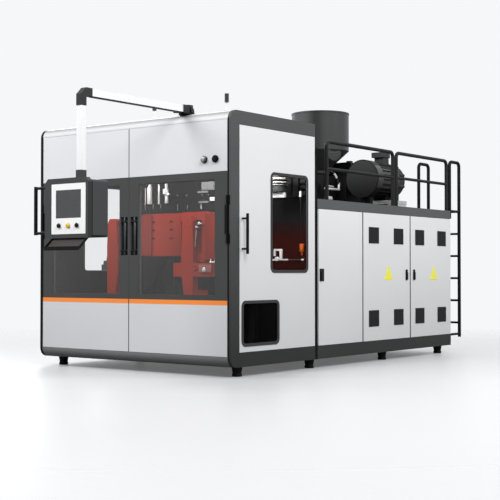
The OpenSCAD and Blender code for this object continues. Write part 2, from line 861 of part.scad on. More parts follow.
module switchgear() {
    color([0.55, 0.57, 0.58]) placed() for (c = [[rear_start + 62, seam_1],
            [seam_1, seam_2], [seam_2, rear_end - 62]]) {
        w = c[1] - c[0] - 2 * gear_inset;
        translate([shell_x0 + sheet_t, c[0] + gear_inset, unit_low + 150]) {
            cube([gear_plate_t, w, gear_h]);
            for (i = [0:3], j = [0:2])
                translate([gear_plate_t - 1, w * (0.06 + 0.24 * i), 120 + device_pitch * j])
                    cube([90 + 20 * j, w * 0.17, device_h]);
            for (j = [0:3])
                translate([gear_plate_t - 1, w * 0.03, duct_w + (device_pitch - 10) * j])
                    cube([duct_w, w * 0.94, duct_w]);
        }
    }
}

// Front doors: dark welded frame, painted panels and tinted pane

door_x0 = 1.5;
door_x1 = inner_w - door_gap;
pull_x0 = door_x0 + (inner_stile - pull_w) / 2;
recess = 22;

module front_door_frame() {
    difference() {
        slab_y(0, door_t) rect(door_x0, sill_top + door_gap, door_x1, door_top - door_gap);
        slab_y(-1, door_t + 1)
            rrect(inner_stile, window_low, inner_w - outer_stile, window_high, 8);
        slab_y(2, 2 + pane_t + 1)
            rect(inner_stile - 20, window_low - 20, inner_w - outer_stile + 20, window_high + 20);
        slab_y(-1, 30)
            rrect(pull_x0, pull_low, pull_x0 + pull_w, pull_low + pull_len, 12);
        slab_y(recess, door_t + 1) {
            rect(inner_stile, sill_top + 60, door_x1 - 60, lower_panel_top - 60);
            rect(inner_stile, upper_panel_low + 60, door_x1 - 60, door_top - 60);
        }
    }
    rod_z(pull_low + 20, pull_low + pull_len - 20, pull_x0 + pull_w / 2, 17, 12);
    for (z = [pull_low - 1, pull_low + pull_len - 40])
        block(pull_x0 + 22, 4, z, pull_x0 + pull_w - 22, 31, z + 41);
    front_hinge_moving();
}

module front_door_panels() {
    rim = 3;
    slab_y(-sheet_t, 0) {
        rect(door_x0, sill_top + door_gap, door_x1, lower_panel_top);
        rect(door_x0, lower_panel_top + slip, door_x1, lower_panel_top + stripe_h);
        rect(door_x0, upper_panel_low, door_x1, door_top - door_gap);
    }
}

module front_door_glass() {
    slab_y(2.5, 2.5 + pane_t)
        rect(inner_stile - 19, window_low - 19, inner_w - outer_stile + 19, window_high + 19);
}

knob_x = [1016, 1156];
knob_z = 2126;

module front_door_right_frame() {
    color([0.28, 0.29, 0.30]) placed() {
        front_door_frame();
        for (x = knob_x) {
            rod_y(-sheet_t - 16, -sheet_t, x, knob_z, 36);
            rod_y(-sheet_t - 30, -sheet_t - 15, x, knob_z, 26);
        }
    }
}

module front_door_left_frame() {
    color([0.28, 0.29, 0.30]) placed() mirror([1, 0, 0]) front_door_frame();
}

module front_door_right_panels() {
    color([0.88, 0.89, 0.90]) placed() front_door_panels();
}

module front_door_left_panels() {
    color([0.88, 0.89, 0.90]) placed() mirror([1, 0, 0]) front_door_panels();
}

module front_door_right_glass() {
    color([0.20, 0.18, 0.18, 0.6]) placed() front_door_glass();
}

module front_door_left_glass() {
    color([0.20, 0.18, 0.18, 0.6]) placed() mirror([1, 0, 0]) front_door_glass();
}

// Side doors: folded pan with two windows, hung on pivot pins

leaf_y0 = frame_band + door_gap;
leaf_y1 = side_pivot_y + pivot_inset;
leaf_z0 = frame_in_low + door_gap;
leaf_z1 = frame_in_high - door_gap;
side_windows = [[side_window_y, side_window_low, housing_d - side_window_rim, side_window_high],
    [low_window_y, low_window_low, low_window_y + low_window_w, low_window_high]];

module pivot_bores(y, z0, z1) {
    rod_z(z0 - 1, z0 + pivot_pin_len + 2, leaf_mid_x, y, bolt_r + pin_slip);
    rod_z(z1 - pivot_pin_len - 2, z1 + 1, leaf_mid_x, y, bolt_r + pin_slip);
}

// A sheet metal door: a skin with folded edges and pivot blocks
module door_pan(y0, y1, z0, z1, pivot_y) {
    t = sheet_t;
    x0 = hw - side_door_t;
    side = pivot_y > (y0 + y1) / 2 ? -1 : 1;
    difference() {
        union() {
            difference() {
                block(x0, y0, z0, hw, y1, z1);
                block(x0 - 1, y0 + t, z0 + t, hw - t, y1 - t, z1 - t);
            }
            for (z = [z0 + 1, z1 - 61])
                block(x0, pivot_y - 19, z, hw - t + eps, pivot_y + 19, z + 60);
        }
        pivot_bores(pivot_y, z0, z1);
    }
}

module side_door_leaf() {
    difference() {
        door_pan(leaf_y0, leaf_y1, leaf_z0, leaf_z1, side_pivot_y);
        for (w = side_windows) slab_x(hw - side_door_t - 1, hw + 1)
            rrect(w[0] + 12, w[1] + 12, w[2] - 12, w[3] - 12, seal_r - 12);
        for (z = grip_z) rod_x(hw - 5, hw + 1, grip_y, z, 7);
    }
}

grip_y = 182;
grip_z = [1251, 1548];

module side_door_glass() {
    for (w = side_windows) slab_x(hw - 9, hw - 9 + pane_t)
        rrect(w[0] + 14, w[1] + 14, w[2] - 14, w[3] - 14, seal_r - 14);
}

module side_door_fittings() {
    for (w = side_windows) {
        slab_x(hw, hw + 5) difference() {
            rrect(w[0], w[1], w[2], w[3], seal_r);
            rrect(w[0] + seal_w, w[1] + seal_w, w[2] - seal_w, w[3] - seal_w, seal_r - seal_w);
        }
        slab_x(hw - 9 + pane_t, hw + eps) difference() {
            rrect(w[0] + 14, w[1] + 14, w[2] - 14, w[3] - 14, seal_r - 14);
            rrect(w[0] + seal_w, w[1] + seal_w, w[2] - seal_w, w[3] - seal_w, seal_r - seal_w);
        }
    }
    for (z = grip_z) rod_x(hw - sheet_t, hw + grip_out, grip_y, z, 6.5);
    rod_z(grip_z[0] - 50, grip_z[1] + 48, hw + grip_out, grip_y, 14.5);
}

module side_door_right_leaf() {
    color([0.87, 0.88, 0.89]) placed() side_door_leaf();
}

module side_door_left_leaf() {
    color([0.87, 0.88, 0.89]) placed() mirror([1, 0, 0]) side_door_leaf();
}

module side_door_right_glass() {
    color([0.20, 0.18, 0.18, 0.6]) placed() side_door_glass();
}

module side_door_left_glass() {
    color([0.20, 0.18, 0.18, 0.6]) placed() mirror([1, 0, 0]) side_door_glass();
}

module side_door_right_fittings() {
    color([0.10, 0.10, 0.11]) placed() side_door_fittings();
}

module side_door_left_fittings() {
    color([0.10, 0.10, 0.11]) placed() mirror([1, 0, 0]) side_door_fittings();
}

// Cabinet doors: front edge, rear edge, pivot, latch and vents

cabinet_doors = [
    [rear_start + 22, seam_1 - 4, seam_1 - 4 - pivot_inset, rear_start + 62, []],
    [seam_1 + 4, seam_2 - 4, seam_1 + 4 + pivot_inset, seam_2 - 92, [0.115, 0.64]],
    [seam_2 + 4, rear_end - 4, rear_end - 4 - pivot_inset, seam_2 + 88, [0.115, 0.66]]];
vent_w = 220;
vent_h = 186;
vent_z = [403, 1354];
latch_z = 994;
spindle_r = 8;

module cabinet_door(i) {
    d = cabinet_doors[i];
    color([0.87, 0.88, 0.89]) placed() difference() {
        door_pan(d[0], d[1], unit_low + door_gap, beam_low - door_gap, d[2]);
        rod_x(hw - 10, hw + 1, d[3], latch_z, spindle_r + pin_slip);
        for (f = d[4], z = vent_z, k = [0:5]) translate([0, d[0] + f * (d[1] - d[0]), 0])
            block(hw - 10, 14, z + 12 + k * 29, hw + 1, vent_w - 14, z + 28 + k * 29);
    }
}

module cabinet_door_1() {
    cabinet_door(0);
}

module cabinet_door_2() {
    cabinet_door(1);
}

module cabinet_door_3() {
    cabinet_door(2);
}

// Quarter-turn latch: spindle through the door, grip outside, cam inside
module cabinet_latch(i) {
    y = cabinet_doors[i][3];
    color([0.10, 0.10, 0.11]) placed() {
        slab_x(hw + slip, hw + 9) rrect(y - 20, latch_z - 64, y + 20, latch_z + 64, 12);
        slab_x(hw + 8, hw + 20) rrect(y - 12, latch_z - 58, y + 12, latch_z + 30, 8);
        rod_x(hw - 16, hw + 9, y, latch_z, spindle_r);
        slab_x(hw - 16, hw - 12) rrect(y - 12, latch_z - 14, y + 12, latch_z + 30, 8);
    }
}

module cabinet_latch_1() {
    cabinet_latch(0);
}

module cabinet_latch_2() {
    cabinet_latch(1);
}

module cabinet_latch_3() {
    cabinet_latch(2);
}

// Swinging arm

arm_z = housing_top + 55;
arm_h = 66;
arm_top = arm_z + arm_h / 2;
arm_low = arm_z - arm_h / 2;
elbow_w = arm_tube_w + 6;
collar_low = housing_top + 12 + slip;
neck_top = panel_low + panel_h + 84;
spigot_r = arm_tube_w / 2 - 6;

module arm_tubes() {
    half = arm_tube_w / 2;
    color([0.93, 0.94, 0.95]) placed() translate([arm_x, 0, 0]) {
        block(-half, drop_y + 60, arm_low, half, pivot_y - 70, arm_top);
        difference() {
            block(-half, drop_y - half, neck_top + slip, half, drop_y + half, arm_low - 66);
            block(-half + 4, drop_y - half + 4, neck_top - 1, half - 4, drop_y + half - 4,
                neck_top + 62);
        }
    }
}

module arm_joints() {
    half = elbow_w / 2;
    color([0.27, 0.28, 0.29]) placed() translate([arm_x, 0, 0]) {
        difference() {
            slab_x(-half, half) polygon([[drop_y - half, arm_low - 95],
                [drop_y - half, arm_top - 58], [drop_y - half + 62, arm_top + 5],
                [drop_y + 108, arm_top + 5], [drop_y + 108, arm_low - 4],
                [drop_y + half, arm_low - 4], [drop_y + half, arm_low - 95]]);
            block(-arm_tube_w / 2, drop_y + 60, arm_low, arm_tube_w / 2, drop_y + 200, arm_top);
            block(-arm_tube_w / 2, drop_y - arm_tube_w / 2, arm_low - 96, arm_tube_w / 2,
                drop_y + arm_tube_w / 2, arm_low - 66);
        }
        block(-18, drop_y + 108 - eps, arm_low - 9, 18, pivot_y - 60, arm_low);
        difference() {
            union() {
                rod_z(collar_low, arm_top + 8, 0, pivot_y, 61);
                block(-45, pivot_y - 92, arm_low - 10, 45, pivot_y, arm_top + 3);
            }
            rod_z(collar_low - 9, arm_top + 9, 0, pivot_y, 28 + pin_slip);
            block(-arm_tube_w / 2, pivot_y - 93, arm_low, arm_tube_w / 2, pivot_y - 70, arm_top);
        }
    }
}

// Operator panel: bezel, rear box, neck and spigot

plate_shift = 27;
plate_w = 429;
plate_low = panel_low + 36;
plate_h = 447;
screen_w = 319;
screen_h = 251;
screen_low = panel_low + 177;
button_x = [-115, 0, 112];
button_z = panel_low + 111;
button_r = 20;

module panel_box() {
    rear_w = panel_w - 26;
    half = elbow_w / 2 + 1;
    color([0.29, 0.30, 0.31]) placed() translate([arm_x, 0, 0]) {
        difference() {
            union() {
                slab_y(face_y, face_y + bezel_d) difference() {
                    rrect(-panel_w / 2, panel_low, panel_w / 2, panel_low + panel_h, 12);
                    for (s = [-1, 1]) translate([s * panel_w / 2, panel_low + panel_h])
                        rotate(45) square(56, center = true);
                }
                slab_y(face_y + bezel_d - 1, drop_y + 72)
                    rrect(-rear_w / 2, panel_low + 8, rear_w / 2, panel_low + panel_h - 18, 22);
            }
            for (x = button_x) rod_y(face_y - 1, face_y + 16, plate_shift + x, button_z,
                button_r - 6 + pin_slip);
        }
        block(-half, drop_y - half, panel_low + panel_h - 20, half, drop_y + half, neck_top);
        rod_z(neck_top - 1, neck_top + 56, 0, drop_y, spigot_r);
    }
}

module panel_faceplate() {
    color([0.94, 0.94, 0.94]) placed() translate([arm_x + plate_shift, 0, 0]) difference() {
        slab_y(face_y - 3, face_y)
            rrect(-plate_w / 2, plate_low, plate_w / 2, plate_low + plate_h, 4);
        slab_y(face_y - 4, face_y + 1)
            rect(-screen_w / 2, screen_low, screen_w / 2, screen_low + screen_h);
        for (x = button_x) rod_y(face_y - 4, face_y + 1, x, button_z, button_r - 6 + pin_slip);
    }
}

module panel_screen() {
    color([0.16, 0.17, 0.18]) placed() translate([arm_x + plate_shift, 0, 0])
        slab_y(face_y - 2, face_y) rect(-screen_w / 2 + slip, screen_low + slip,
            screen_w / 2 - slip, screen_low + screen_h - slip);
}

// Side handle and sloping tray of the panel

panel_grip_x = -panel_w / 2 - 146;
panel_grip_y = face_y + 24;
tray_w = 440;
tray_drop = 104;

module panel_fittings() {
    color([0.22, 0.23, 0.24]) placed() translate([arm_x, 0, 0]) {
        for (z = [panel_low + 50, panel_low + 459])
            rod_x(panel_grip_x, -panel_w / 2, panel_grip_y, z, 13);
        rod_z(panel_low + 34, panel_low + 475, panel_grip_x, panel_grip_y, 17);
        translate([plate_shift, 0, 0]) {
            slab_x(-tray_w / 2, tray_w / 2) polygon([[face_y + 26, panel_low],
                [face_y + 36, panel_low], [lip_y, panel_low - tray_drop - 6],
                [lip_y, panel_low - tray_drop + 28], [lip_y + 8, panel_low - tray_drop + 28],
                [lip_y + 8, panel_low - tray_drop + 6]]);
            for (x = [-tray_w / 2, tray_w / 2 - 5]) slab_x(x, x + 5)
                polygon([[face_y + 4, panel_low], [face_y + 35, panel_low],
                    [lip_y + 2, panel_low - tray_drop - 4], [lip_y + 2, panel_low - tray_drop + 26]]);
        }
    }
}

// Buttons: domed head on a stem that slides in the panel

module panel_button(i) {
    travel = 4;
    translate([arm_x + plate_shift + button_x[i], face_y - 3 - travel - slip, button_z])
        rotate([-90, 0, 0]) rotate_extrude() polygon([[0, -16], [button_r - 8, -15],
            [button_r - 2, -11], [button_r, -6], [button_r, 0], [button_r - 6, 0],
            [button_r - 6, 17], [0, 17]]);
}

module button_left() {
    color([0.06, 0.06, 0.06]) placed() panel_button(0);
}

module button_middle() {
    color([0.85, 0.66, 0.10]) placed() panel_button(1);
}

module button_right() {
    color([0.06, 0.06, 0.06]) placed() panel_button(2);
}

// Mould platens on their side yokes, and the mould halves

shoe_z = rail_top + slip;
yoke_x0 = 455;
yoke_x1 = 605;
front_plate_y1 = parting_y - clamp_gap / 2 - mould_t;
front_plate_y0 = front_plate_y1 - platen_t;
bottle_r = 70;
bottle_low = platen_low + 90;
bottle_h = 260;
neck_r = 26;
arm_lead = 198;
arm_y0 = front_plate_y0 - arm_lead;
arm_t = 80;

module front_arm() {
    slab_y(arm_y0, arm_y0 + arm_t) polygon([[yoke_x0 + 32, shoe_z], [yoke_x1, shoe_z],
        [yoke_x1 + 4, 1000], [yoke_x1 + 6, 1300], [yoke_x1 - 6, 1560], [yoke_x1 - 34, 1600],
        [yoke_x0 + 44, 1600], [yoke_x0 + 18, 1574], [yoke_x0 - 6, 1200], [yoke_x0, 1000]]);
    for (z = [1240, 1560]) slab_z(z, z + 46) polygon([[platen_w / 2 - 40, front_plate_y0 + 10],
        [platen_w / 2 - 40, front_plate_y1 - 10], [yoke_x0 + 40, front_plate_y1 - 40],
        [yoke_x0 + 40, arm_y0 + arm_t - 10]]);
    block(yoke_x0 + 50, arm_y0, shoe_z, yoke_x1 - 20, front_plate_y1 - 20, shoe_z + 50);
}

// Cross block with its bolt, and cheek plate with its pin, on the right arm
module front_guard() {
    difference() {
        slab_y(arm_y0, arm_y0 + arm_t)
            rrect(yoke_x0 - 110, 977, yoke_x0 + 450, 1121, 16);
        rod_y(arm_y0 - 1, arm_y0 + 8, yoke_x0 + 175, 1058, 30);
    }
    rod_y(arm_y0 - 10, arm_y0 + 20, yoke_x0 + 175, 1058, 22);
    slab_y(arm_y0 + 60, front_plate_y1 - 30) difference() {
        rrect(platen_w / 2 + 130, 1134, platen_w / 2 + 440, 1645, 24);
        rrect(platen_w / 2 + 250, 1210, platen_w / 2 + 400, 1560, 20);
    }
    rod_y(arm_y0 + 30, arm_y0 + 62, yoke_x0 + 118, 1508, 34);
    rod_y(arm_y0 - 4, arm_y0 + 31, yoke_x0 + 118, 1508, 20);
}

module platen(y0, y1) {
    slab_y(y0, y1)
        rrect(-platen_w / 2, platen_low, platen_w / 2, platen_low + platen_h, 14);
}

module front_platen() {
    color([0.83, 0.33, 0.22]) placed() {
        difference() {
            platen(front_plate_y0, front_plate_y1);
            for (x = [-110, 140], k = [0:2]) slab_y(front_plate_y0 - 1, front_plate_y0 + 40)
                rrect(x - 24, platen_low + 180 + 88 * k, x + 24, platen_low + 198 + 88 * k, 8);
        }
        block(-platen_w / 2 - 2, front_plate_y0 - 14, platen_low + 8, -platen_w / 2 + 150,
            front_plate_y0 + 1, platen_low + platen_h - 20);
        both_sides() front_arm();
        front_guard();
    }
}

module rear_platen() {
    color([0.83, 0.33, 0.22]) placed() {
        platen(rear_plate_y0, rear_plate_y1);
        both_sides() {
            slab_y(rear_plate_y0 + 10, rear_plate_y1) polygon([[yoke_x0 + 50, shoe_z],
                [yoke_x1 - 20, shoe_z], [yoke_x1 - 20, 1240], [platen_w / 2 - 20, 1560],
                [platen_w / 2 - 20, 1240]]);
            block(yoke_x0 + 50, rear_plate_y0 - 60, shoe_z, yoke_x1 - 20, rear_plate_y1 + 60,
                shoe_z + 50);
        }
        rod_y(rear_plate_y1 - 1, cylinder_y0 + 60, 0, platen_mid_z, ram_r);
        rod_y(rear_plate_y1 - 1, rear_plate_y1 + 16, 0, platen_mid_z, ram_r + 34);
    }
}

// Bottle-shaped cavity with its neck at the bottom
module cavity() {
    translate([0, parting_y, 0]) rotate_extrude() polygon([[0, platen_low - 1],
        [neck_r + 8, platen_low - 1], [neck_r, platen_low + 44], [neck_r, bottle_low - 20],
        [bottle_r - 16, bottle_low], [bottle_r, bottle_low + 22],
        [bottle_r, bottle_low + bottle_h - 12], [bottle_r - 12, bottle_low + bottle_h],
        [0, bottle_low + bottle_h]]);
}

mould_w = 400;

module mould_half(y0, y1) {
    difference() {
        slab_y(y0, y1) rect(-mould_w / 2, platen_low + 34, mould_w / 2, platen_low + platen_h - 34);
        cavity();
    }
}

module front_mould() {
    color([0.62, 0.63, 0.65]) placed() mould_half(front_plate_y1, parting_y - clamp_gap / 2);
}

module rear_mould() {
    color([0.62, 0.63, 0.65]) placed() mould_half(parting_y + clamp_gap / 2, rear_plate_y0);
}

// Blow pin that rises into the neck of the mould

module blow_pin() {
    color([0.75, 0.75, 0.75]) placed() translate([0, parting_y, 0]) rotate_extrude()
        polygon([[0, 700], [guide_r, 700], [guide_r, 1050], [guide_r + 14, 1050],
            [guide_r + 14, 1075], [13, 1075], [13, platen_low + 2], [8, platen_low + 16],
            [0, platen_low + 16]]);
}

side_frame_right();
side_frame_left();
base_bed();
roof_cover();
rear_bulkhead();
levelling_feet();
roof_pivot();
roof_beacons();
clamp_bed();
clamp_cylinder();
head_beam();
die_head();
heater_bands();
extruder_barrel();
extruder_screw();
hopper();
gearbox();
drive_motor();
drive_base();
rear_base();
rear_posts();
platform_deck();
railings();
ladder();
cabinet_shell();
rear_panels();
power_pack();
switchgear();
front_door_right_frame();
front_door_right_panels();
front_door_right_glass();
front_door_left_frame();
front_door_left_panels();
front_door_left_glass();
side_door_right_leaf();
side_door_right_glass();
side_door_right_fittings();
side_door_left_leaf();
side_door_left_glass();
side_door_left_fittings();
cabinet_door_1();
cabinet_door_2();
cabinet_door_3();
cabinet_latch_1();
cabinet_latch_2();
cabinet_latch_3();
arm_tubes();
arm_joints();
panel_box();
panel_faceplate();
panel_screen();
panel_fittings();
button_left();
button_middle();
button_right();
front_platen();
front_mould();
rear_platen();
rear_mould();
blow_pin();
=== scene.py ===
"""Blow moulding machine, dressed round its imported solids.

Places are written in the machine's own millimetres: x from the middle plane, y back from
the front plane of the housing and z up from the floor. at() turns them into the row frame.
"""

import math

import bmesh
import bpy
from mathutils import Matrix, Vector


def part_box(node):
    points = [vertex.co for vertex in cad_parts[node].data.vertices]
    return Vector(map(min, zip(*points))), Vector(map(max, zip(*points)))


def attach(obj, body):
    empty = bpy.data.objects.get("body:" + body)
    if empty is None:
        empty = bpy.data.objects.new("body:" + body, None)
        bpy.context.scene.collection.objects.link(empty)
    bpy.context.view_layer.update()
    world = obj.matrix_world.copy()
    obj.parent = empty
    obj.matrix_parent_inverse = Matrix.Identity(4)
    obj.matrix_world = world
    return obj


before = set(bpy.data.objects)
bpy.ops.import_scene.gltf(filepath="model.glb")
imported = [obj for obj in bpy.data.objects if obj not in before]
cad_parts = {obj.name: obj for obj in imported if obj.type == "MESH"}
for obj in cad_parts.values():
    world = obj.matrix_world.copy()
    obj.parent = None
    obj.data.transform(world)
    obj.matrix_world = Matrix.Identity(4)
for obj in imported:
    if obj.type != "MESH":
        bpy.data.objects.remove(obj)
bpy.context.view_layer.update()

MM = 0.001
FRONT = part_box("base_bed")[0][1]
HALF_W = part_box("side_frame_right")[1][0] / MM


def at(x, y, z):
    """A place in the machine's millimetres, in the row frame."""
    return Vector((x * MM, FRONT + y * MM, z * MM))


# Camera

CAMERA_PLACE = at(8147.7, -8586.9, 1020.35)
CAMERA_HEADING = 37.438
CAMERA_PITCH = 1.134
CAMERA_LENS = 82.08
CAMERA_SENSOR = 36
CAMERA_REACH = 200


def add_camera():
    camera = bpy.data.objects.new("camera", bpy.data.cameras.new("camera"))
    bpy.context.scene.collection.objects.link(camera)
    camera.data.sensor_width = CAMERA_SENSOR
    camera.data.lens = CAMERA_LENS
    camera.data.clip_end = CAMERA_REACH
    camera.location = CAMERA_PLACE
    camera.rotation_euler = (math.radians(90 + CAMERA_PITCH), 0, math.radians(CAMERA_HEADING))
    bpy.context.scene.camera = camera


# Shared effects, as node groups

def new_group(name, inputs, outputs):
    """An empty shader group with number, place or colour sockets, and its two end nodes."""
    tree = bpy.data.node_groups.new(name, "ShaderNodeTree")
    for label, value in inputs.items():
        size = len(value) if isinstance(value, tuple) else 1
        kind = {1: "NodeSocketFloat", 3: "NodeSocketVector", 4: "NodeSocketColor"}[size]
        socket = tree.interface.new_socket(label, in_out="INPUT", socket_type=kind)
        socket.default_value = value
    for label, kind in outputs.items():
        tree.interface.new_socket(label, in_out="OUTPUT", socket_type=kind)
    return tree, tree.nodes.new("NodeGroupInput"), tree.nodes.new("NodeGroupOutput")


def feed(tree, socket, value):
    """Links a socket to another one, or sets it to a number, a place or a colour."""
    if isinstance(value, (int, float, tuple)):
        socket.default_value = value
    else:
        tree.links.new(value, socket)


def calculate(tree, operation, *values):
    """A math node over numbers and sockets."""
    node = tree.nodes.new("ShaderNodeMath")
    node.operation = operation
    for socket, value in zip(node.inputs, values):
        feed(tree, socket, value)
    return node.outputs[0]


def own_place(tree):
    """The piece's own coordinates, which are the row frame's."""
    return tree.nodes.new("ShaderNodeTexCoord").outputs["Object"]


def split_axes(tree, vector):
    node = tree.nodes.new("ShaderNodeSeparateXYZ")
    tree.links.new(vector, node.inputs[0])
    return node.outputs


def noise(tree, scale, detail=3.0, place=None):
    """Noise over the piece's own coordinates, or over another place; scale may be a socket."""
    texture = tree.nodes.new("ShaderNodeTexNoise")
    texture.inputs["Detail"].default_value = detail
    feed(tree, texture.inputs["Scale"], scale)
    tree.links.new(own_place(tree) if place is None else place, texture.inputs["Vector"])
    return texture.outputs["Fac"]


def remap(tree, value, low, high, new_low, new_high):
    """Carries a value from one range to another, and holds it at the ends."""
    node = tree.nodes.new("ShaderNodeMapRange")
    feed(tree, node.inputs["Value"], value)
    for name, number in (("From Min", low), ("From Max", high),
                         ("To Min", new_low), ("To Max", new_high)):
        feed(tree, node.inputs[name], number)
    return node.outputs["Result"]


# Sockets of the mix node that belong to colours; the others are for numbers and vectors
MIX_INPUTS = (0, 6, 7)
MIX_RESULT = 2


def mix_colours(tree, factor, first, second, blend="MIX"):
    node = tree.nodes.new("ShaderNodeMix")
    node.data_type = "RGBA"
    node.blend_type = blend
    for index, value in zip(MIX_INPUTS, (factor, first, second)):
        feed(tree, node.inputs[index], value)
    return node.outputs[MIX_RESULT]


def toned(tree, colour, tone):
    """A colour made darker or lighter by a tone."""
    return mix_colours(tree, 1.0, colour, tone, "MULTIPLY")


NOISE_SPAN = (0.3, 0.7)
SLOW_SCALE = 1.3
FINE_SCALE = 38.0
FINE_DETAIL = 5.0
GRAIN_DETAIL = 4.0
SPECKLE = (0.35, 0.75, 0.35, 1.0)
LOOKS_UP = (0.75, 1.0)
DUST_COLOUR = (0.42, 0.41, 0.40, 1.0)
ROUGHNESS_SWING = 0.12
LINE_TONES = (0.82, 1.05)


def paint_variation():
    """Slow uneven shading of a sprayed coat, and the dust that settles on faces that look up."""
    tree, start, end = new_group(
        "paint variation",
        {"Color": (0.8, 0.8, 0.8, 1.0), "Amount": 0.05, "Dust": 0.1, "Roughness": 0.4},
        {"Color": "NodeSocketColor", "Roughness": "NodeSocketFloat"},
    )
    slow = noise(tree, SLOW_SCALE)
    fine = noise(tree, FINE_SCALE, FINE_DETAIL)
    darkest = calculate(tree, "SUBTRACT", 1.0, start.outputs["Amount"])
    coat = toned(tree, start.outputs["Color"], remap(tree, slow, *NOISE_SPAN, darkest, 1.0))
    normal = tree.nodes.new("ShaderNodeNewGeometry").outputs["Normal"]
    upward = remap(tree, split_axes(tree, normal)["Z"], *LOOKS_UP, 0.0, 1.0)
    speckle = remap(tree, fine, *SPECKLE)
    dust = calculate(tree, "MULTIPLY", upward, speckle)
    dust = calculate(tree, "MULTIPLY", dust, start.outputs["Dust"])
    tree.links.new(mix_colours(tree, dust, coat, DUST_COLOUR), end.inputs["Color"])
    rough = calculate(tree, "MULTIPLY_ADD", fine, ROUGHNESS_SWING, start.outputs["Roughness"])
    tree.links.new(rough, end.inputs["Roughness"])
    return tree


def surface_grain():
    """Fine relief: the texture of powder coat, of castings or of moulded plastic."""
    tree, start, end = new_group("surface grain", {"Scale": 300.0}, {"Height": "NodeSocketFloat"})
    tree.links.new(noise(tree, start.outputs["Scale"], GRAIN_DETAIL), end.inputs["Height"])
    return tree


def brushed_lines():
    """Long fine lines, as turning and brushing leave them on steel."""
    tree, start, end = new_group(
        "brushed lines", {"Color": (0.6, 0.6, 0.6, 1.0), "Along": 2.0, "Across": 240.0},
        {"Color": "NodeSocketColor", "Height": "NodeSocketFloat"})
    stretch = tree.nodes.new("ShaderNodeCombineXYZ")
    for axis, name in (("X", "Along"), ("Y", "Along"), ("Z", "Across")):
        tree.links.new(start.outputs[name], stretch.inputs[axis])
    scaled = tree.nodes.new("ShaderNodeVectorMath")
    scaled.operation = "MULTIPLY"
    tree.links.new(own_place(tree), scaled.inputs[0])
    tree.links.new(stretch.outputs[0], scaled.inputs[1])
    lines = noise(tree, 1.0, GRAIN_DETAIL, scaled.outputs[0])
    shade = remap(tree, lines, *NOISE_SPAN, *LINE_TONES)
    tree.links.new(toned(tree, start.outputs["Color"], shade), end.inputs["Color"])
    tree.links.new(lines, end.inputs["Height"])
    return tree


def zone_mask():
    """1 inside a box of the piece's own coordinates, 0 elsewhere."""
    tree, start, end = new_group(
        "zone mask", {"Low": (0.0, 0.0, 0.0), "High": (1.0, 1.0, 1.0)},
        {"Mask": "NodeSocketFloat"})
    here = split_axes(tree, own_place(tree))
    low = split_axes(tree, start.outputs["Low"])
    high = split_axes(tree, start.outputs["High"])
    mask = 1.0
    for axis in "XYZ":
        for operation, limit in (("GREATER_THAN", low), ("LESS_THAN", high)):
            test = calculate(tree, operation, here[axis], limit[axis])
            mask = calculate(tree, "MULTIPLY", mask, test)
    tree.links.new(mask, end.inputs["Mask"])
    return tree


PAINT = paint_variation()
GRAIN = surface_grain()
LINES = brushed_lines()
ZONE = zone_mask()


def place_group(tree, group, **values):
    node = tree.nodes.new("ShaderNodeGroup")
    node.node_tree = group
    for name, value in values.items():
        node.inputs[name].default_value = value
    return node


# Materials: the kinds

# Heights in metres over which the painted shade near the floor runs out
FLOOR_SHADE_LOW = 0.2
FLOOR_SHADE_HIGH = 1.9
COAT_ROUGHNESS = 0.12
BUMP_HEIGHT = 0.001
PLASTIC_TONES = (0.88, 1.0)
PANE_SCALE = 1.1
PANE_TONES = (0.9, 1.0)
PANE_ROUGHNESS = 0.08
PANE_HAZE = 0.01
SCREEN_COLOUR = (0.034, 0.0345, 0.036)
SCREEN_SCALE = 5.0
SCREEN_TONES = (0.85, 1.1)
SCREEN_ROUGHNESS = 0.18
SCREEN_COAT = 0.3


def new_material(name):
    material = bpy.data.materials.new(name)
    material.use_nodes = True
    return material, material.node_tree, material.node_tree.nodes["Principled BSDF"]


def rgba(colour):
    return (*colour, 1.0)


def add_bump(tree, shader, height, strength):
    bump = tree.nodes.new("ShaderNodeBump")
    bump.inputs["Strength"].default_value = strength
    bump.inputs["Distance"].default_value = BUMP_HEIGHT
    tree.links.new(height, bump.inputs["Height"])
    tree.links.new(bump.outputs["Normal"], shader.inputs["Normal"])


def painted(name, colour, roughness=0.35, amount=0.04, dust=0.08, grain=420.0, depth=0.12,
            coat=0.0, metallic=0.0, floor_shade=1.0, gloss=0.5):
    """Sprayed or powder coated sheet metal.

    amount is how uneven the coat is, dust what lies on faces that look up, floor_shade the
    painted shade near the floor, the tone the colour darkens to there, and gloss how strong the
    shine is.
    """
    material, tree, shader = new_material(name)
    sprayed = place_group(tree, PAINT, Color=rgba(colour), Amount=amount, Dust=dust,
                          Roughness=roughness)
    seen = sprayed.outputs["Color"]
    # Painted shade: below a height the colour darkens towards the floor.
    if floor_shade < 1.0:
        height = split_axes(tree, own_place(tree))["Z"]
        seen = toned(tree, seen, remap(tree, height, FLOOR_SHADE_LOW, FLOOR_SHADE_HIGH, floor_shade, 1.0))
    tree.links.new(seen, shader.inputs["Base Color"])
    tree.links.new(sprayed.outputs["Roughness"], shader.inputs["Roughness"])
    shader.inputs["Metallic"].default_value = metallic
    shader.inputs["Specular IOR Level"].default_value = gloss
    shader.inputs["Coat Weight"].default_value = coat
    shader.inputs["Coat Roughness"].default_value = COAT_ROUGHNESS
    add_bump(tree, shader, place_group(tree, GRAIN, Scale=grain).outputs["Height"], depth)
    return material


def metal(name, colour, roughness=0.3, along=2.0, across=240.0, depth=0.1):
    """Bare steel with fine lines."""
    material, tree, shader = new_material(name)
    lines = place_group(tree, LINES, Color=rgba(colour), Along=along, Across=across)
    tree.links.new(lines.outputs["Color"], shader.inputs["Base Color"])
    shader.inputs["Metallic"].default_value = 1.0
    shader.inputs["Roughness"].default_value = roughness
    add_bump(tree, shader, lines.outputs["Height"], depth)
    return material


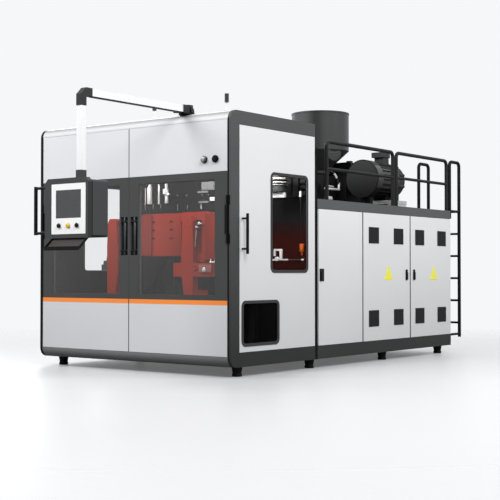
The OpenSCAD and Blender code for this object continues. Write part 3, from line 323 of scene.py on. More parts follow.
def plastic(name, colour, roughness=0.5, grain=700.0, depth=0.15, gloss=0.5):
    """Moulded plastic or rubber with a fine grain."""
    material, tree, shader = new_material(name)
    height = place_group(tree, GRAIN, Scale=grain).outputs["Height"]
    tone = remap(tree, height, *NOISE_SPAN, *PLASTIC_TONES)
    tree.links.new(toned(tree, rgba(colour), tone), shader.inputs["Base Color"])
    shader.inputs["Roughness"].default_value = roughness
    shader.inputs["Specular IOR Level"].default_value = gloss
    add_bump(tree, shader, height, depth)
    return material


def tinted_pane(name, colour, alpha, gloss=0.3):
    """A pane: partly clear, with a faint uneven haze and a gloss of its own."""
    material, tree, shader = new_material(name)
    cloud = noise(tree, PANE_SCALE)
    tone = remap(tree, cloud, *NOISE_SPAN, *PANE_TONES)
    tree.links.new(toned(tree, rgba(colour), tone), shader.inputs["Base Color"])
    haze = remap(tree, cloud, *NOISE_SPAN, alpha - PANE_HAZE, alpha + PANE_HAZE)
    tree.links.new(haze, shader.inputs["Alpha"])
    shader.inputs["Roughness"].default_value = PANE_ROUGHNESS
    shader.inputs["Specular IOR Level"].default_value = gloss
    return material


def dark_screen(name):
    """The dark screen of the operator panel with a faint sheen."""
    material, tree, shader = new_material(name)
    tone = remap(tree, noise(tree, SCREEN_SCALE), *NOISE_SPAN, *SCREEN_TONES)
    tree.links.new(toned(tree, rgba(SCREEN_COLOUR), tone), shader.inputs["Base Color"])
    shader.inputs["Roughness"].default_value = SCREEN_ROUGHNESS
    shader.inputs["Coat Weight"].default_value = SCREEN_COAT
    return material


# Materials: what changes a finished one from place to place

FAR = 9000
UP = (0, 0, 1)


def zone(x=(-FAR, FAR), y=(-FAR, FAR), z=(0, FAR)):
    """A box between limits in machine millimetres, open where no limit is given."""
    return tuple(zip(x, y, z))


def colour_entry(material):
    """The material's tree, the colour input of its shader and what feeds that now."""
    tree = material.node_tree
    entry = tree.nodes["Principled BSDF"].inputs["Base Color"]
    return tree, entry, entry.links[0].from_socket


def recolour(material, colour, *zones):
    """Gives another colour to what lies inside the zones."""
    tree, entry, seen = colour_entry(material)
    for low, high in zones:
        mask = place_group(tree, ZONE, Low=tuple(at(*low)), High=tuple(at(*high)))
        seen = mix_colours(tree, mask.outputs["Mask"], seen, rgba(colour))
    tree.links.new(seen, entry)


def edge_shade(material, tone, start, end):
    """Painted shade: darkens what is seen at a flat angle, so rims and outlines read dark."""
    tree, entry, seen = colour_entry(material)
    weight = tree.nodes.new("ShaderNodeLayerWeight")
    weight.inputs["Blend"].default_value = 0.5
    shade = remap(tree, weight.outputs["Facing"], start, end, 1.0, tone)
    tree.links.new(toned(tree, seen, shade), entry)


def fade(material, along, start, end, first, last):
    """Lets the tone run from first to last between two places on a line."""
    tree, entry, seen = colour_entry(material)
    reach = tree.nodes.new("ShaderNodeVectorMath")
    reach.operation = "DOT_PRODUCT"
    tree.links.new(own_place(tree), reach.inputs[0])
    reach.inputs[1].default_value = along
    ends = [Vector(along).dot(at(*place)) for place in (start, end)]
    shade = remap(tree, reach.outputs["Value"], *ends, first, last)
    tree.links.new(toned(tree, seen, shade), entry)


def fade_up(material, low, high, first, last):
    fade(material, UP, (0, 0, low), (0, 0, high), first, last)


# Places that several pieces or paints share, in machine millimetres

ROOF_EDGE = 2600
STRIPE_LOW = 703.2
STRIPE_HIGH = 748.4
PULL_X = 70
PULL_W = 100
PULL_LOW = 1200
PULL_HIGH = 1596
SILL_LOW = 100
SILL_HIGH = 204
BEACON_CAP = 2681
HOPPER_Y = 3537

FRAME_OUT = -HALF_W + 1
FRAME_IN = -HALF_W + 47
CORNER_DEPTH = 120
CORNER_TOP = 2400
CORNER_FOOT = 260
RIGHT_GAP = (1300, 1320)
SKIN = 1.5
GAP_HALF = 11
CABINET_GAPS = (2401, 3477)

PROUD = zone(y=(-FAR, -0.5))
STRIPE = zone(z=(STRIPE_LOW, STRIPE_HIGH))
SEAM = zone(x=(-5.5, 5.5))
# Painted shade: the left edge of the front is drawn black where the side frame's edge lies in
# shadow.
LEFT_EDGE_SHADE = zone(x=(-FAR, FRAME_IN))
# Painted shade drawn black along the left frame's front edge, its top and foot corners and its
# lower end, and the dark gap at the right frame.
FRONT_EDGE_SHADE_AND_GAP = (
    zone(x=(-FAR, FRAME_IN), y=(-FAR, 3)),
    zone(x=(FRAME_OUT, FRAME_IN), y=(-FAR, CORNER_DEPTH), z=(CORNER_TOP, FAR)),
    zone(x=(FRAME_OUT, FRAME_IN), y=(-FAR, CORNER_DEPTH), z=(0, CORNER_FOOT)),
    zone(x=(-FAR, FRAME_IN), z=(0, 118)),
    zone(x=RIGHT_GAP, y=(-FAR, 3)),
)
PULL_RECESSES = [zone(x=(x - PULL_W / 2, x + PULL_W / 2), y=(1, 60), z=(PULL_LOW, PULL_HIGH))
                 for x in (-PULL_X, PULL_X)]
# Painted shade: the inner faces and folded edges of the side door leaves are drawn black.
SHADE_BEHIND_SKIN = zone(x=(-HALF_W + SKIN, HALF_W - SKIN))
DOOR_GAPS = [zone(y=(y - GAP_HALF, y + GAP_HALF)) for y in CABINET_GAPS]
ROOF_TOP = zone(y=(42, FAR), z=(2300, FAR))
GRIP = zone(y=(0, 480), z=(1000, 1900))
PLATEN_SHADE = zone(x=(-449, -108), y=(420, FAR), z=(1150, FAR))
MOTOR_SIDE_HIGHLIGHT = zone(x=(880, FAR), y=(3362, FAR), z=(2060, 2330))
SIDE_CASE = zone(x=(450, FAR))
PLINTH_SHADE = (zone(y=(-FAR, 3750)), zone(x=(-FAR, 400)))

# The operator panel: its bezel stands in front of the box, and the tray hangs below it
BEZEL_FRONT = -1511
BEZEL_BACK = -1492
TRAY_TOP = 1328
BEZEL_GAP = zone(y=(BEZEL_FRONT, BEZEL_BACK))
BEZEL_EDGE = zone(x=(979, FAR), y=(-FAR, BEZEL_FRONT))
BOX_FOOT = zone(y=(BEZEL_BACK, FAR), z=(1300, 1348))
HANDLE = zone(x=(-FAR, 430), z=(TRAY_TOP, FAR))
TRAY_EDGES = (
    zone(x=(-FAR, 523), z=(0, TRAY_TOP)),
    zone(x=(949, FAR), z=(0, TRAY_TOP)),
    zone(y=(-FAR, -1631), z=(0, TRAY_TOP)),
)


def side_view(low, high):
    """What the right side window shows of the bulkhead, between two heights, where painted light
    is laid.
    """
    return zone(x=(680, 1300), y=(1300, 1447), z=(low, high))


# Paints

# On the front panels SILVER is the body's white set darker than on the side doors: painted shade
# of the front face.
SILVER = (0.66, 0.67, 0.695)
WHITE = (0.76, 0.765, 0.775)
CABINET_WHITE = (0.81, 0.815, 0.82)
ORANGE = (0.90, 0.25, 0.03)
BLACK = (0.003, 0.003, 0.003)
NEAR_BLACK = (0.004, 0.004, 0.004)
PAINTED_RED_LIGHT = (0.034, 0.004, 0.002)

# Paints below that darken towards the floor carry painted shade there.
panel_paint = painted("silver panel paint", SILVER, roughness=0.30, amount=0.03, coat=0.25,
                      floor_shade=0.92)
recolour(panel_paint, ORANGE, STRIPE)
recolour(panel_paint, BLACK, SEAM, LEFT_EDGE_SHADE)

side_paint = painted("cabinet door paint", CABINET_WHITE, roughness=0.32, amount=0.03, coat=0.2,
                     floor_shade=0.8)
recolour(side_paint, BLACK, *DOOR_GAPS)

leaf_paint = painted("side door paint", WHITE, roughness=0.32, amount=0.03, coat=0.2, floor_shade=0.82)
recolour(leaf_paint, BLACK, SHADE_BEHIND_SKIN)

roof_paint = painted("roof paint", (0.60, 0.605, 0.62), roughness=0.4, amount=0.03, dust=0.0,
                     gloss=0.3)
# Painted shade: the roof's front lip darkens towards its top edge.
fade_up(roof_paint, ROOF_EDGE - 62, ROOF_EDGE - 6, 1.0, 0.22)
recolour(roof_paint, SILVER, ROOF_TOP)

frame_paint = painted("frame paint", (0.084, 0.085, 0.086), roughness=0.45, amount=0.10,
                      dust=0.12, floor_shade=0.36, gloss=0.12)
recolour(frame_paint, BLACK, PROUD, *FRONT_EDGE_SHADE_AND_GAP)

door_paint = painted("door frame paint", (0.062, 0.0625, 0.063), roughness=0.45, amount=0.08,
                     dust=0.1, gloss=0.12)
recolour(door_paint, BLACK, PROUD, LEFT_EDGE_SHADE, *PULL_RECESSES)

base_paint = painted("base paint", (0.080, 0.081, 0.082), roughness=0.45, amount=0.10,
                     dust=0.15, floor_shade=0.44, gloss=0.12)
sill_paint = painted("front sill paint", (0.19, 0.192, 0.195), roughness=0.45, amount=0.08,
                     dust=0.1, gloss=0.12)
# Painted shade: the sill darkens towards its foot and is lightest along its top.
fade_up(sill_paint, SILL_LOW, SILL_HIGH, 0.62, 1.0)

panel_box_paint = painted("operator panel paint", (0.058, 0.0585, 0.060), roughness=0.42,
                          amount=0.1, dust=0.1, gloss=0.12)
recolour(panel_box_paint, BLACK, BEZEL_GAP, BOX_FOOT)
recolour(panel_box_paint, (0.030, 0.0305, 0.031), BEZEL_EDGE)
fitting_paint = painted("panel fitting paint", (0.040, 0.032, 0.032), roughness=0.4, amount=0.1,
                        dust=0.1, gloss=0.12)
recolour(fitting_paint, BLACK, HANDLE, *TRAY_EDGES)
arm_paint = painted("arm joint paint", (0.030, 0.0305, 0.031), roughness=0.42, amount=0.1,
                    dust=0.05, gloss=0.12)
tube_paint = painted("white tube paint", (0.86, 0.865, 0.87), roughness=0.28, amount=0.02,
                     dust=0.03, coat=0.3)
plate_paint = painted("face plate lacquer", (0.92, 0.92, 0.92), roughness=0.3, amount=0.02,
                      dust=0.02)
beacon_paint = painted("beacon lacquer", (0.80, 0.80, 0.80), roughness=0.35, amount=0.05,
                       dust=0.0)
recolour(beacon_paint, BLACK, zone(z=(BEACON_CAP, FAR)))

dark_paint = painted("machine grey paint", (0.008, 0.008, 0.0085), roughness=0.5, amount=0.2,
                     dust=0.1, gloss=0.1)
# Near black for the parts inside the housing; on the rear platen, a red casting, it is painted
# shade.
inner_paint = painted("inner grey paint", (0.007, 0.007, 0.0075), roughness=0.6, amount=0.2,
                      dust=0.1, gloss=0.12)
# Painted light: red laid on the inner parts that the right side window shows low down.
recolour(inner_paint, PAINTED_RED_LIGHT, side_view(1000, 1440))
edge_paint = painted("bulkhead paint", NEAR_BLACK, roughness=0.6, amount=0.2, dust=0.05,
                     gloss=0.06)
# Painted light on the bulkhead behind the right side window: reddest low down, fading to dark
# grey higher up.
recolour(edge_paint, (0.012, 0.012, 0.012), side_view(1560, 1850))
recolour(edge_paint, (0.018, 0.006, 0.005), side_view(1440, 1560))
recolour(edge_paint, PAINTED_RED_LIGHT, side_view(1000, 1440))
backing_paint = painted("backing plate paint", NEAR_BLACK, roughness=0.7, amount=0.2, dust=0.0,
                        gloss=0.05)
guard_paint = painted("guard box paint", (0.045, 0.046, 0.048), roughness=0.5, amount=0.1,
                      dust=0.05, gloss=0.15)
clamp_paint = painted("clamp paint", (0.30, 0.018, 0.002), roughness=0.45, amount=0.15,
                      dust=0.0, gloss=0.15)
recolour(clamp_paint, (0.20, 0.014, 0.003), PLATEN_SHADE)
plate_primer = painted("cover plate primer", (0.33, 0.115, 0.10), roughness=0.5, amount=0.1,
                       dust=0.0, gloss=0.2)
# Painted reflection: the polished steel blow rods are drawn as a pale grey paint that stands for
# their bright reflection.
rod_reflection_paint = painted("blow rod painted reflection", (0.62, 0.62, 0.615), roughness=0.3, amount=0.1,
                      dust=0.0)
white_fitting = painted("fitting lacquer", (0.88, 0.88, 0.87), roughness=0.3, amount=0.05,
                        dust=0.0)
pale_casting = painted("pale casting", (0.60, 0.57, 0.54), roughness=0.45, amount=0.6, dust=0.0,
                       grain=25, depth=1.0)
dull_fitting = painted("dull zinc", (0.24, 0.24, 0.245), roughness=0.4, amount=0.4, dust=0.0,
                       grain=60, depth=0.5)

motor_paint = painted("motor paint", (0.060, 0.0605, 0.061), roughness=0.6, amount=0.2,
                      dust=0.05, gloss=0.1)
# Painted highlight on the ribbed side of the motor that faces right, and painted shade that
# darkens the motor towards its foot.
recolour(motor_paint, (0.19, 0.19, 0.19), MOTOR_SIDE_HIGHLIGHT)
fade_up(motor_paint, 1970, 2400, 0.06, 0.85)
gear_paint = painted("gearbox paint", NEAR_BLACK, roughness=0.55, amount=0.2, dust=0.05,
                     gloss=0.1)
recolour(gear_paint, (0.045, 0.0455, 0.046), SIDE_CASE)
barrel_paint = painted("barrel guard paint", (0.010, 0.010, 0.0105), roughness=0.5, amount=0.2,
                       dust=0.05, gloss=0.1)
base_plate_paint = painted("base plate paint", (0.62, 0.62, 0.61), roughness=0.5, amount=0.15,
                           dust=0.2)
recolour(base_plate_paint, (0.02, 0.02, 0.021), *PLINTH_SHADE)
lid_paint = painted("port lid paint", (0.085, 0.0855, 0.087), roughness=0.4, amount=0.2,
                    dust=0.1, gloss=0.12)
rail_paint = painted("railing paint", (0.016, 0.0162, 0.0165), roughness=0.42, amount=0.15,
                     dust=0.05, gloss=0.12)
edge_shade(rail_paint, 0.1, 0.6, 0.95)
ladder_paint = painted("ladder paint", (0.005, 0.005, 0.0052), roughness=0.45, amount=0.15,
                       dust=0.05, gloss=0.1)
deck_paint = painted("deck paint", (0.080, 0.082, 0.084), roughness=0.55, amount=0.15, dust=0.2,
                     grain=160, depth=0.4)
pack_paint = painted("power pack paint", (0.05, 0.09, 0.12), roughness=0.4, amount=0.15,
                     dust=0.2)
cabinet_paint = painted("cabinet lining paint", (0.52, 0.53, 0.54), roughness=0.5, amount=0.1,
                        dust=0.15)
plate_yellow = painted("plate yellow", (0.90, 0.86, 0.09), roughness=0.35, amount=0.05,
                       dust=0.0)

# Painted reflection: the hopper's cone is drawn lighter along both sides with a dark band
# between, across the camera's view
ACROSS_HOPPER = (0.794, 0.608, 0)
hopper_paint = painted("hopper paint", (0.075, 0.0755, 0.077), roughness=0.33, amount=0.08,
                       dust=0.05, coat=0.15, gloss=0.12)
edge_shade(hopper_paint, 0.5, 0.88, 0.99)
fade(hopper_paint, ACROSS_HOPPER, (-200, 3384, 0), (-80, 3476, 0), 1.35, 0.35)
fade(hopper_paint, ACROSS_HOPPER, (-30, 3514, 0), (60, 3583, 0), 1.0, 2.1)

# Plastics, metals and panes

seal_rubber = plastic("seal rubber", (0.046, 0.046, 0.047), roughness=0.42, gloss=0.12)
recolour(seal_rubber, BLACK, GRIP)
black_plastic = plastic("black moulded plastic", (0.006, 0.006, 0.0065), roughness=0.42,
                        gloss=0.15)
foot_rubber = plastic("foot rubber", (0.012, 0.012, 0.0125), roughness=0.7, grain=400,
                      depth=0.3, gloss=0.1)
yellow_plastic = plastic("yellow button plastic", (0.80, 0.50, 0.02), roughness=0.3, depth=0.05)
orange_plastic = plastic("orange fitting plastic", (0.75, 0.12, 0.01), roughness=0.35,
                         depth=0.05)
grille_plastic = plastic("grille plastic", (0.015, 0.0152, 0.016), roughness=0.5, gloss=0.08)

bare_steel = metal("bare steel", (0.55, 0.55, 0.55), roughness=0.32)
bright_steel = metal("bright steel", (0.80, 0.80, 0.80), roughness=0.14, depth=0.04)
knob_steel = metal("knob steel", (0.30, 0.30, 0.31), roughness=0.42)
pull_steel = metal("pull bar steel", (0.075, 0.085, 0.088), roughness=0.35)
pin_steel = metal("blackened pin steel", (0.02, 0.02, 0.021), roughness=0.5)
band_steel = metal("heater band steel", (0.60, 0.59, 0.57), roughness=0.38)
mould_steel = metal("mould aluminium", (0.62, 0.63, 0.65), roughness=0.35, along=3.0,
                    across=160.0)
cast_steel = painted("cast steel", (0.14, 0.14, 0.145), roughness=0.55, amount=0.25, grain=220,
                     depth=0.5, metallic=0.6)

front_pane = tinted_pane("front pane", (0.36, 0.36, 0.36), 0.09)
right_pane = tinted_pane("right side pane", (0.004, 0.004, 0.004), 0.12, gloss=0.06)
left_pane = tinted_pane("left side pane", (0.30, 0.30, 0.30), 0.02)
screen_glass = dark_screen("screen glass")

NODE_MATERIALS = {
    panel_paint: ["front_door_right_panels", "front_door_left_panels"],
    side_paint: ["cabinet_door_1", "cabinet_door_2", "cabinet_door_3", "rear_panels"],
    leaf_paint: ["side_door_right_leaf", "side_door_left_leaf"],
    roof_paint: ["roof_cover"],
    frame_paint: ["side_frame_right", "side_frame_left"],
    base_paint: ["rear_base", "rear_posts"],
    sill_paint: ["base_bed"],
    door_paint: ["front_door_right_frame", "front_door_left_frame"],
    panel_box_paint: ["panel_box"],
    fitting_paint: ["panel_fittings"],
    arm_paint: ["arm_joints"],
    dark_paint: ["roof_pivot"],
    edge_paint: ["rear_bulkhead"],
    inner_paint: ["clamp_bed", "clamp_cylinder", "head_beam", "rear_platen"],
    motor_paint: ["drive_motor"],
    gear_paint: ["gearbox"],
    hopper_paint: ["hopper"],
    rail_paint: ["railings"],
    ladder_paint: ["ladder"],
    deck_paint: ["platform_deck"],
    tube_paint: ["arm_tubes"],
    plate_paint: ["panel_faceplate"],
    beacon_paint: ["roof_beacons"],
    base_plate_paint: ["drive_base"],
    clamp_paint: ["front_platen"],
    pack_paint: ["power_pack"],
    cabinet_paint: ["cabinet_shell"],
    seal_rubber: ["side_door_right_fittings", "side_door_left_fittings"],
    black_plastic: ["cabinet_latch_1", "cabinet_latch_2", "cabinet_latch_3",
                    "button_left", "button_right"],
    foot_rubber: ["levelling_feet"],
    yellow_plastic: ["button_middle"],
    bare_steel: ["switchgear"],
    bright_steel: ["extruder_screw"],
    pin_steel: ["blow_pin"],
    barrel_paint: ["extruder_barrel"],
    cast_steel: ["die_head"],
    mould_steel: ["front_mould", "rear_mould"],
    band_steel: ["heater_bands"],
    front_pane: ["front_door_right_glass", "front_door_left_glass"],
    right_pane: ["side_door_right_glass"],
    left_pane: ["side_door_left_glass"],
    screen_glass: ["panel_screen"],
}


def dress_nodes():
    for material, names in NODE_MATERIALS.items():
        for name in names:
            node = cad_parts[name]
            node.data.materials.clear()
            node.data.materials.append(material)
    dressed = {name for names in NODE_MATERIALS.values() for name in names}
    left_out = sorted(set(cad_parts) - dressed)
    assert not left_out, f"nodes without a material: {left_out}"


# Ways to make and finish a piece

SMOOTH_BELOW = 35
ROD_EDGE_ANGLE = 50


def start_piece():
    if bpy.context.mode != "OBJECT":
        bpy.ops.object.mode_set(mode="OBJECT")
    bpy.ops.object.select_all(action="DESELECT")


def choose(piece):
    """Makes a piece the one that the next operator works on."""
    start_piece()
    piece.select_set(True)
    bpy.context.view_layer.objects.active = piece


def bevel_edges(piece, width, segments=2, angle=30):
    modifier = piece.modifiers.new("bevel", "BEVEL")
    modifier.width = width * MM
    modifier.segments = segments
    modifier.limit_method = "ANGLE"
    modifier.angle_limit = math.radians(angle)
    bpy.ops.object.modifier_apply(modifier=modifier.name)


def finish_piece(piece, name, material, body):
    """Names the piece, sets its place into its mesh, and gives it finish and body."""
    piece.name = name
    piece.data.name = name
    choose(piece)
    bpy.ops.object.transform_apply(location=True, rotation=True, scale=True)
    bpy.ops.object.shade_smooth_by_angle(angle=math.radians(SMOOTH_BELOW))
    piece.data.materials.clear()
    piece.data.materials.append(material)
    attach(piece, body)


def join_pieces(pieces):
    start_piece()
    for piece in pieces:
        piece.select_set(True)
    bpy.context.view_layer.objects.active = pieces[0]
    bpy.ops.object.join()
    return bpy.context.object


def fitting(name, parts, material, body="machine"):
    """Joins bars and blocks to one piece."""
    finish_piece(join_pieces(parts), name, material, body)


def block(low, high, bevel=2.0, segments=2):
    """A block between two corners, with broken edges."""
    start_piece()
    a, b = at(*low), at(*high)
    bpy.ops.mesh.primitive_cube_add(size=1, location=(a + b) / 2, scale=b - a)
    piece = bpy.context.object
    bpy.ops.object.transform_apply(location=False, rotation=False, scale=True)
    if bevel:
        bevel_edges(piece, bevel, segments)
    return piece


def turned_block(centre, size, turn):
    """A block about its centre, turned round the upright axis."""
    start_piece()
    bpy.ops.mesh.primitive_cube_add(size=1, location=at(*centre), scale=Vector(size) * MM,
                                    rotation=(0, 0, turn))
    piece = bpy.context.object
    bevel_edges(piece, 1.5, 1)
    return piece


def rod(start, end, radius, bevel=1.5, sides=32):
    """A round bar between two places, with its end edges broken."""
    start_piece()
    a, b = at(*start), at(*end)
    bpy.ops.mesh.primitive_cylinder_add(
        vertices=sides, radius=radius * MM, depth=(b - a).length, location=(a + b) / 2,
        rotation=(b - a).to_track_quat("Z", "Y").to_euler())
    piece = bpy.context.object
    if bevel:
        bevel_edges(piece, bevel, 2, ROD_EDGE_ANGLE)
    return piece


def upright(x, y, low, high, radius, sides=24):
    return rod((x, y, low), (x, y, high), radius, min(2.0, radius / 3), sides)


def ring(place, major, minor):
    """A round bead that faces the front."""
    start_piece()
    bpy.ops.mesh.primitive_torus_add(
        location=at(*place), rotation=(math.radians(90), 0, 0), major_radius=major * MM,
        minor_radius=minor * MM, major_segments=64, minor_segments=10)
    return bpy.context.object


def pipe(points, radius):
    """A bent pipe through places, as a mesh."""
    start_piece()
    curve = bpy.data.curves.new("pipe", "CURVE")
    curve.dimensions = "3D"
    curve.bevel_depth = radius * MM
    curve.bevel_resolution = 3
    curve.resolution_u = 6
    curve.use_fill_caps = True
    line = curve.splines.new("BEZIER")
    line.bezier_points.add(len(points) - 1)
    for point, place in zip(line.bezier_points, points):
        point.co = at(*place)
        point.handle_left_type = point.handle_right_type = "AUTO"
    piece = bpy.data.objects.new("pipe", curve)
    bpy.context.scene.collection.objects.link(piece)
    choose(piece)
    bpy.ops.object.convert(target="MESH")
    return bpy.context.object


# Vent grilles of the cabinet doors

VENT_W = 220
VENT_H = 186
VENT_LOWS = {"lower": 403, "upper": 1354}
# Where a grille starts, as a share of its door's width
VENT_SHARES = {"2": {"front": 0.115, "rear": 0.64}, "3": {"front": 0.115, "rear": 0.66}}
GRILLE_PROUD = 5
RIM_W = 11
RIM_CHAMFER = 1.5
RIM_DEPTH = 3.5
BLADES = 7
BLADE_HALF = 5
BLADE_END_INSET = 14
BLADE_SIDE_INSET = 17


def grille_rim(y, low):
    """A plate with a sunk field inside its rim."""
    start_piece()
    bpy.ops.mesh.primitive_cube_add(
        size=1, location=at(HALF_W + GRILLE_PROUD / 2, y + VENT_W / 2, low + VENT_H / 2),
        scale=(GRILLE_PROUD * MM, VENT_W * MM, VENT_H * MM))
    rim = bpy.context.object
    bpy.ops.object.transform_apply(location=False, rotation=False, scale=True)
    bpy.ops.object.mode_set(mode="EDIT")
    mesh = bmesh.from_edit_mesh(rim.data)
    for face in mesh.faces:
        face.select = face.normal.x > 0.9
    bmesh.update_edit_mesh(rim.data)
    bpy.ops.mesh.inset(thickness=RIM_W * MM, depth=0)
    bpy.ops.mesh.inset(thickness=RIM_CHAMFER * MM, depth=-RIM_DEPTH * MM)
    bpy.ops.object.mode_set(mode="OBJECT")
    bevel_edges(rim, 0.8, 1)
    return rim


def vent_grille(name, body, y, low):
    """A dark grille with upright blades in a raised rim, set over the slots of a door."""
    parts = [grille_rim(y, low)]
    pitch = (VENT_W - 2 * BLADE_SIDE_INSET) / BLADES
    for i in range(BLADES):
        middle = y + BLADE_SIDE_INSET + (i + 0.5) * pitch
        parts.append(block(
            (HALF_W + 1, middle - BLADE_HALF, low + BLADE_END_INSET),
            (HALF_W + GRILLE_PROUD - 0.6, middle + BLADE_HALF,
             low + VENT_H - BLADE_END_INSET), 1.0, 1))
    fitting(name, parts, grille_plastic, body)


def add_vents():
    for number, shares in VENT_SHARES.items():
        door = f"cabinet_door_{number}"
        door_low, door_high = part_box(door)
        for row, low in VENT_LOWS.items():
            for column, share in shares.items():
                y = (door_low[1] - FRONT + share * (door_high[1] - door_low[1])) / MM
                vent_grille(f"{door}_{row}_{column}_grille", f"cabinet_leaf_{number}", y, low)


# Bare triangular plates on the cabinet doors

PLATE_LOW = 935
PLATE_HIGH = 1110
PLATE_ROUND = 14
PLATE_Y = {"2": 2967, "3": 4066}


def bare_plate(name, body, y):
    """A plain yellow plate, triangular with rounded corners, one of them on top."""
    radius = (PLATE_HIGH - PLATE_LOW) / 1.5
    start_piece()
    bpy.ops.mesh.primitive_cylinder_add(
        vertices=3, radius=radius * MM, depth=2 * MM,
        location=at(HALF_W + 1, y, PLATE_LOW + radius / 2),
        rotation=(math.radians(90), 0, math.radians(90)))
    piece = bpy.context.object
    bpy.ops.object.transform_apply(location=False, rotation=True, scale=False)
    top = max(vertex.co.z for vertex in piece.data.vertices) / MM
    if abs(top - radius) > 1:
        piece.data.transform(Matrix.Rotation(math.radians(180), 4, "X"))
    bpy.ops.object.mode_set(mode="EDIT")
    mesh = bmesh.from_edit_mesh(piece.data)
    for edge in mesh.edges:
        along = (edge.verts[0].co - edge.verts[1].co).normalized()
        edge.select = abs(along.x) > 0.9
    bmesh.update_edit_mesh(piece.data)
    bpy.ops.mesh.bevel(offset=PLATE_ROUND * MM, segments=4, affect="EDGES")
    bpy.ops.object.mode_set(mode="OBJECT")
    bevel_edges(piece, 0.5, 1)
    finish_piece(piece, name, plate_yellow, body)


def add_plates():
    for number, y in PLATE_Y.items():
        bare_plate(f"cabinet_door_{number}_plate", f"cabinet_leaf_{number}", y)


# Door pulls: a lit bar in the recess, held by two dark cross clamps

PULL_BAR_Y = 19
PULL_BAR_R = 17
BAR_ROOM = 2
CLAMP_HEIGHTS = (1248, 1548)
CLAMP_Y = (0.5, 29)
CLAMP_HALF = 9
CLAMP_REACH = PULL_W / 2 - 1


def add_pulls():
    for side, word in ((1, "right"), (-1, "left")):
        body = f"front_door_{word}"
        x = side * PULL_X
        bar = upright(x, PULL_BAR_Y, PULL_LOW + BAR_ROOM, PULL_HIGH - BAR_ROOM, PULL_BAR_R, 32)
        finish_piece(bar, f"{word}_pull_bar", pull_steel, body)
        clamps = [block((x - CLAMP_REACH, CLAMP_Y[0], z - CLAMP_HALF),
                        (x + CLAMP_REACH, CLAMP_Y[1], z + CLAMP_HALF)) for z in CLAMP_HEIGHTS]
        fitting(f"{word}_pull_clamps", clamps, black_plastic, body)


# Blow head: rods, stubs, valves and couplings on a dark plate above the clamp

HEAD_Y = 486
HEAD_PLATES = (
    ((-330, HEAD_Y, 1668), (800, HEAD_Y + 8, 1990), 1.0, 1),
    ((-300, HEAD_Y, 1985), (-230, HEAD_Y + 8, 2420), 1.0, 1),
    ((690, HEAD_Y, 1985), (760, HEAD_Y + 8, 2420), 1.0, 1),
)
# x, radius and both heights
RODS = ((-215, 5, 1747, 1931), (-133, 27, 1754, 1935), (-133, 20, 1930, 1962),
        (-14, 11, 1750, 1962))
TAP_X = 105
TAP = ((TAP_X, HEAD_Y - 21, 1755, 1860, 20), (TAP_X, HEAD_Y - 34, 1852, 1906, 33),
       (TAP_X - 6, HEAD_Y - 20, 1905, 1961, 15))
TAP_SPOUT = ((TAP_X, HEAD_Y - 34, 1846), (TAP_X + 54, HEAD_Y - 34, 1846), 15, 2, 24)
STUB_R = 4
# x and both heights
STUBS = ((-218, 1694, 1747), (-103, 1700, 1754), (5, 1707, 1750), (245, 1678, 1741),
         (380, 1684, 1726))
BOLT_R = 6
BOLT_REACH = 10
# x and height
BOLTS = ((242, 1833), (370, 1828), (581, 1827), (667, 1824))
VALVE_BLOCK = ((604, HEAD_Y - 46, 1868), (762, HEAD_Y, 1955), 3)
VALVE_W = 12
VALVE_COILS = [((x, HEAD_Y - 50, 1874), (x + VALVE_W, HEAD_Y - 40, 1949), 1.5, 1)
               for x in range(612, 756, 2 * VALVE_W)]
VALVE_RAILS = (((537, HEAD_Y - 30, 1844), (678, HEAD_Y, 1863), 2, 1),
               ((551, HEAD_Y - 30, 1738), (685, HEAD_Y, 1758), 2, 1))
COUPLING = ((711, HEAD_Y - 40, 1755), (776, HEAD_Y, 1795), 3)
COUPLING_STEM = (571, HEAD_Y - 7, 1678, 1740, 6, 16)


def add_head_fittings():
    fitting("blow_head_plate", [block(*row) for row in HEAD_PLATES], backing_paint)
    rods = [upright(x, HEAD_Y - radius, low, high, radius) for x, radius, low, high in RODS]
    rods += [upright(*row) for row in TAP] + [rod(*TAP_SPOUT)]
    fitting("blow_head_rods", rods, rod_reflection_paint)
    stubs = [upright(x, HEAD_Y - STUB_R, low, high, STUB_R, 12) for x, low, high in STUBS]
    stubs += [rod((x, HEAD_Y - BOLT_REACH, z), (x, HEAD_Y, z), BOLT_R, 1, 16) for x, z in BOLTS]
    fitting("blow_head_stubs", stubs, dull_fitting)
    valves = [block(*row) for row in (VALVE_BLOCK, *VALVE_COILS, *VALVE_RAILS)]
    fitting("blow_head_valves", valves, dull_fitting)
    fitting("blow_head_couplings", [block(*COUPLING), upright(*COUPLING_STEM)], white_fitting)


# Pins, plate, grease fittings and lug on the arms of the front platen

ARM_Y = 299
ARM_PINS = (
    ((695, ARM_Y - 12, 1519), (695, ARM_Y + 60, 1519), 15, 2, 24),
    ((659, ARM_Y - 12, 1482), (659, ARM_Y + 60, 1482), 13, 2, 24),
    ((622, ARM_Y + 20, 1278), (640, ARM_Y + 20, 1452), 5, 1, 12),
    ((771, ARM_Y - 22, 1047), (771, ARM_Y + 6, 1047), 25, 5, 32),
)
CROSS_PLATE = ((700, ARM_Y - 13, 1024), (866, ARM_Y - 8, 1102), 1.5, 1)
GREASE_BAR = ((820, ARM_Y + 6, 1119), (896, ARM_Y + 40, 1132), 2, 1)
GREASE_CUPS = [(x, ARM_Y + 22, 1130, 1160, 6, 16) for x in (829, 884)]
# Outer x and both heights
LUG_STEPS = ((-702, 1046, 1110), (-672, 1108, 1150), (-626, 1148, 1184))
LUG_INNER = -600
LUG_Y = (ARM_Y + 6, ARM_Y + 46)


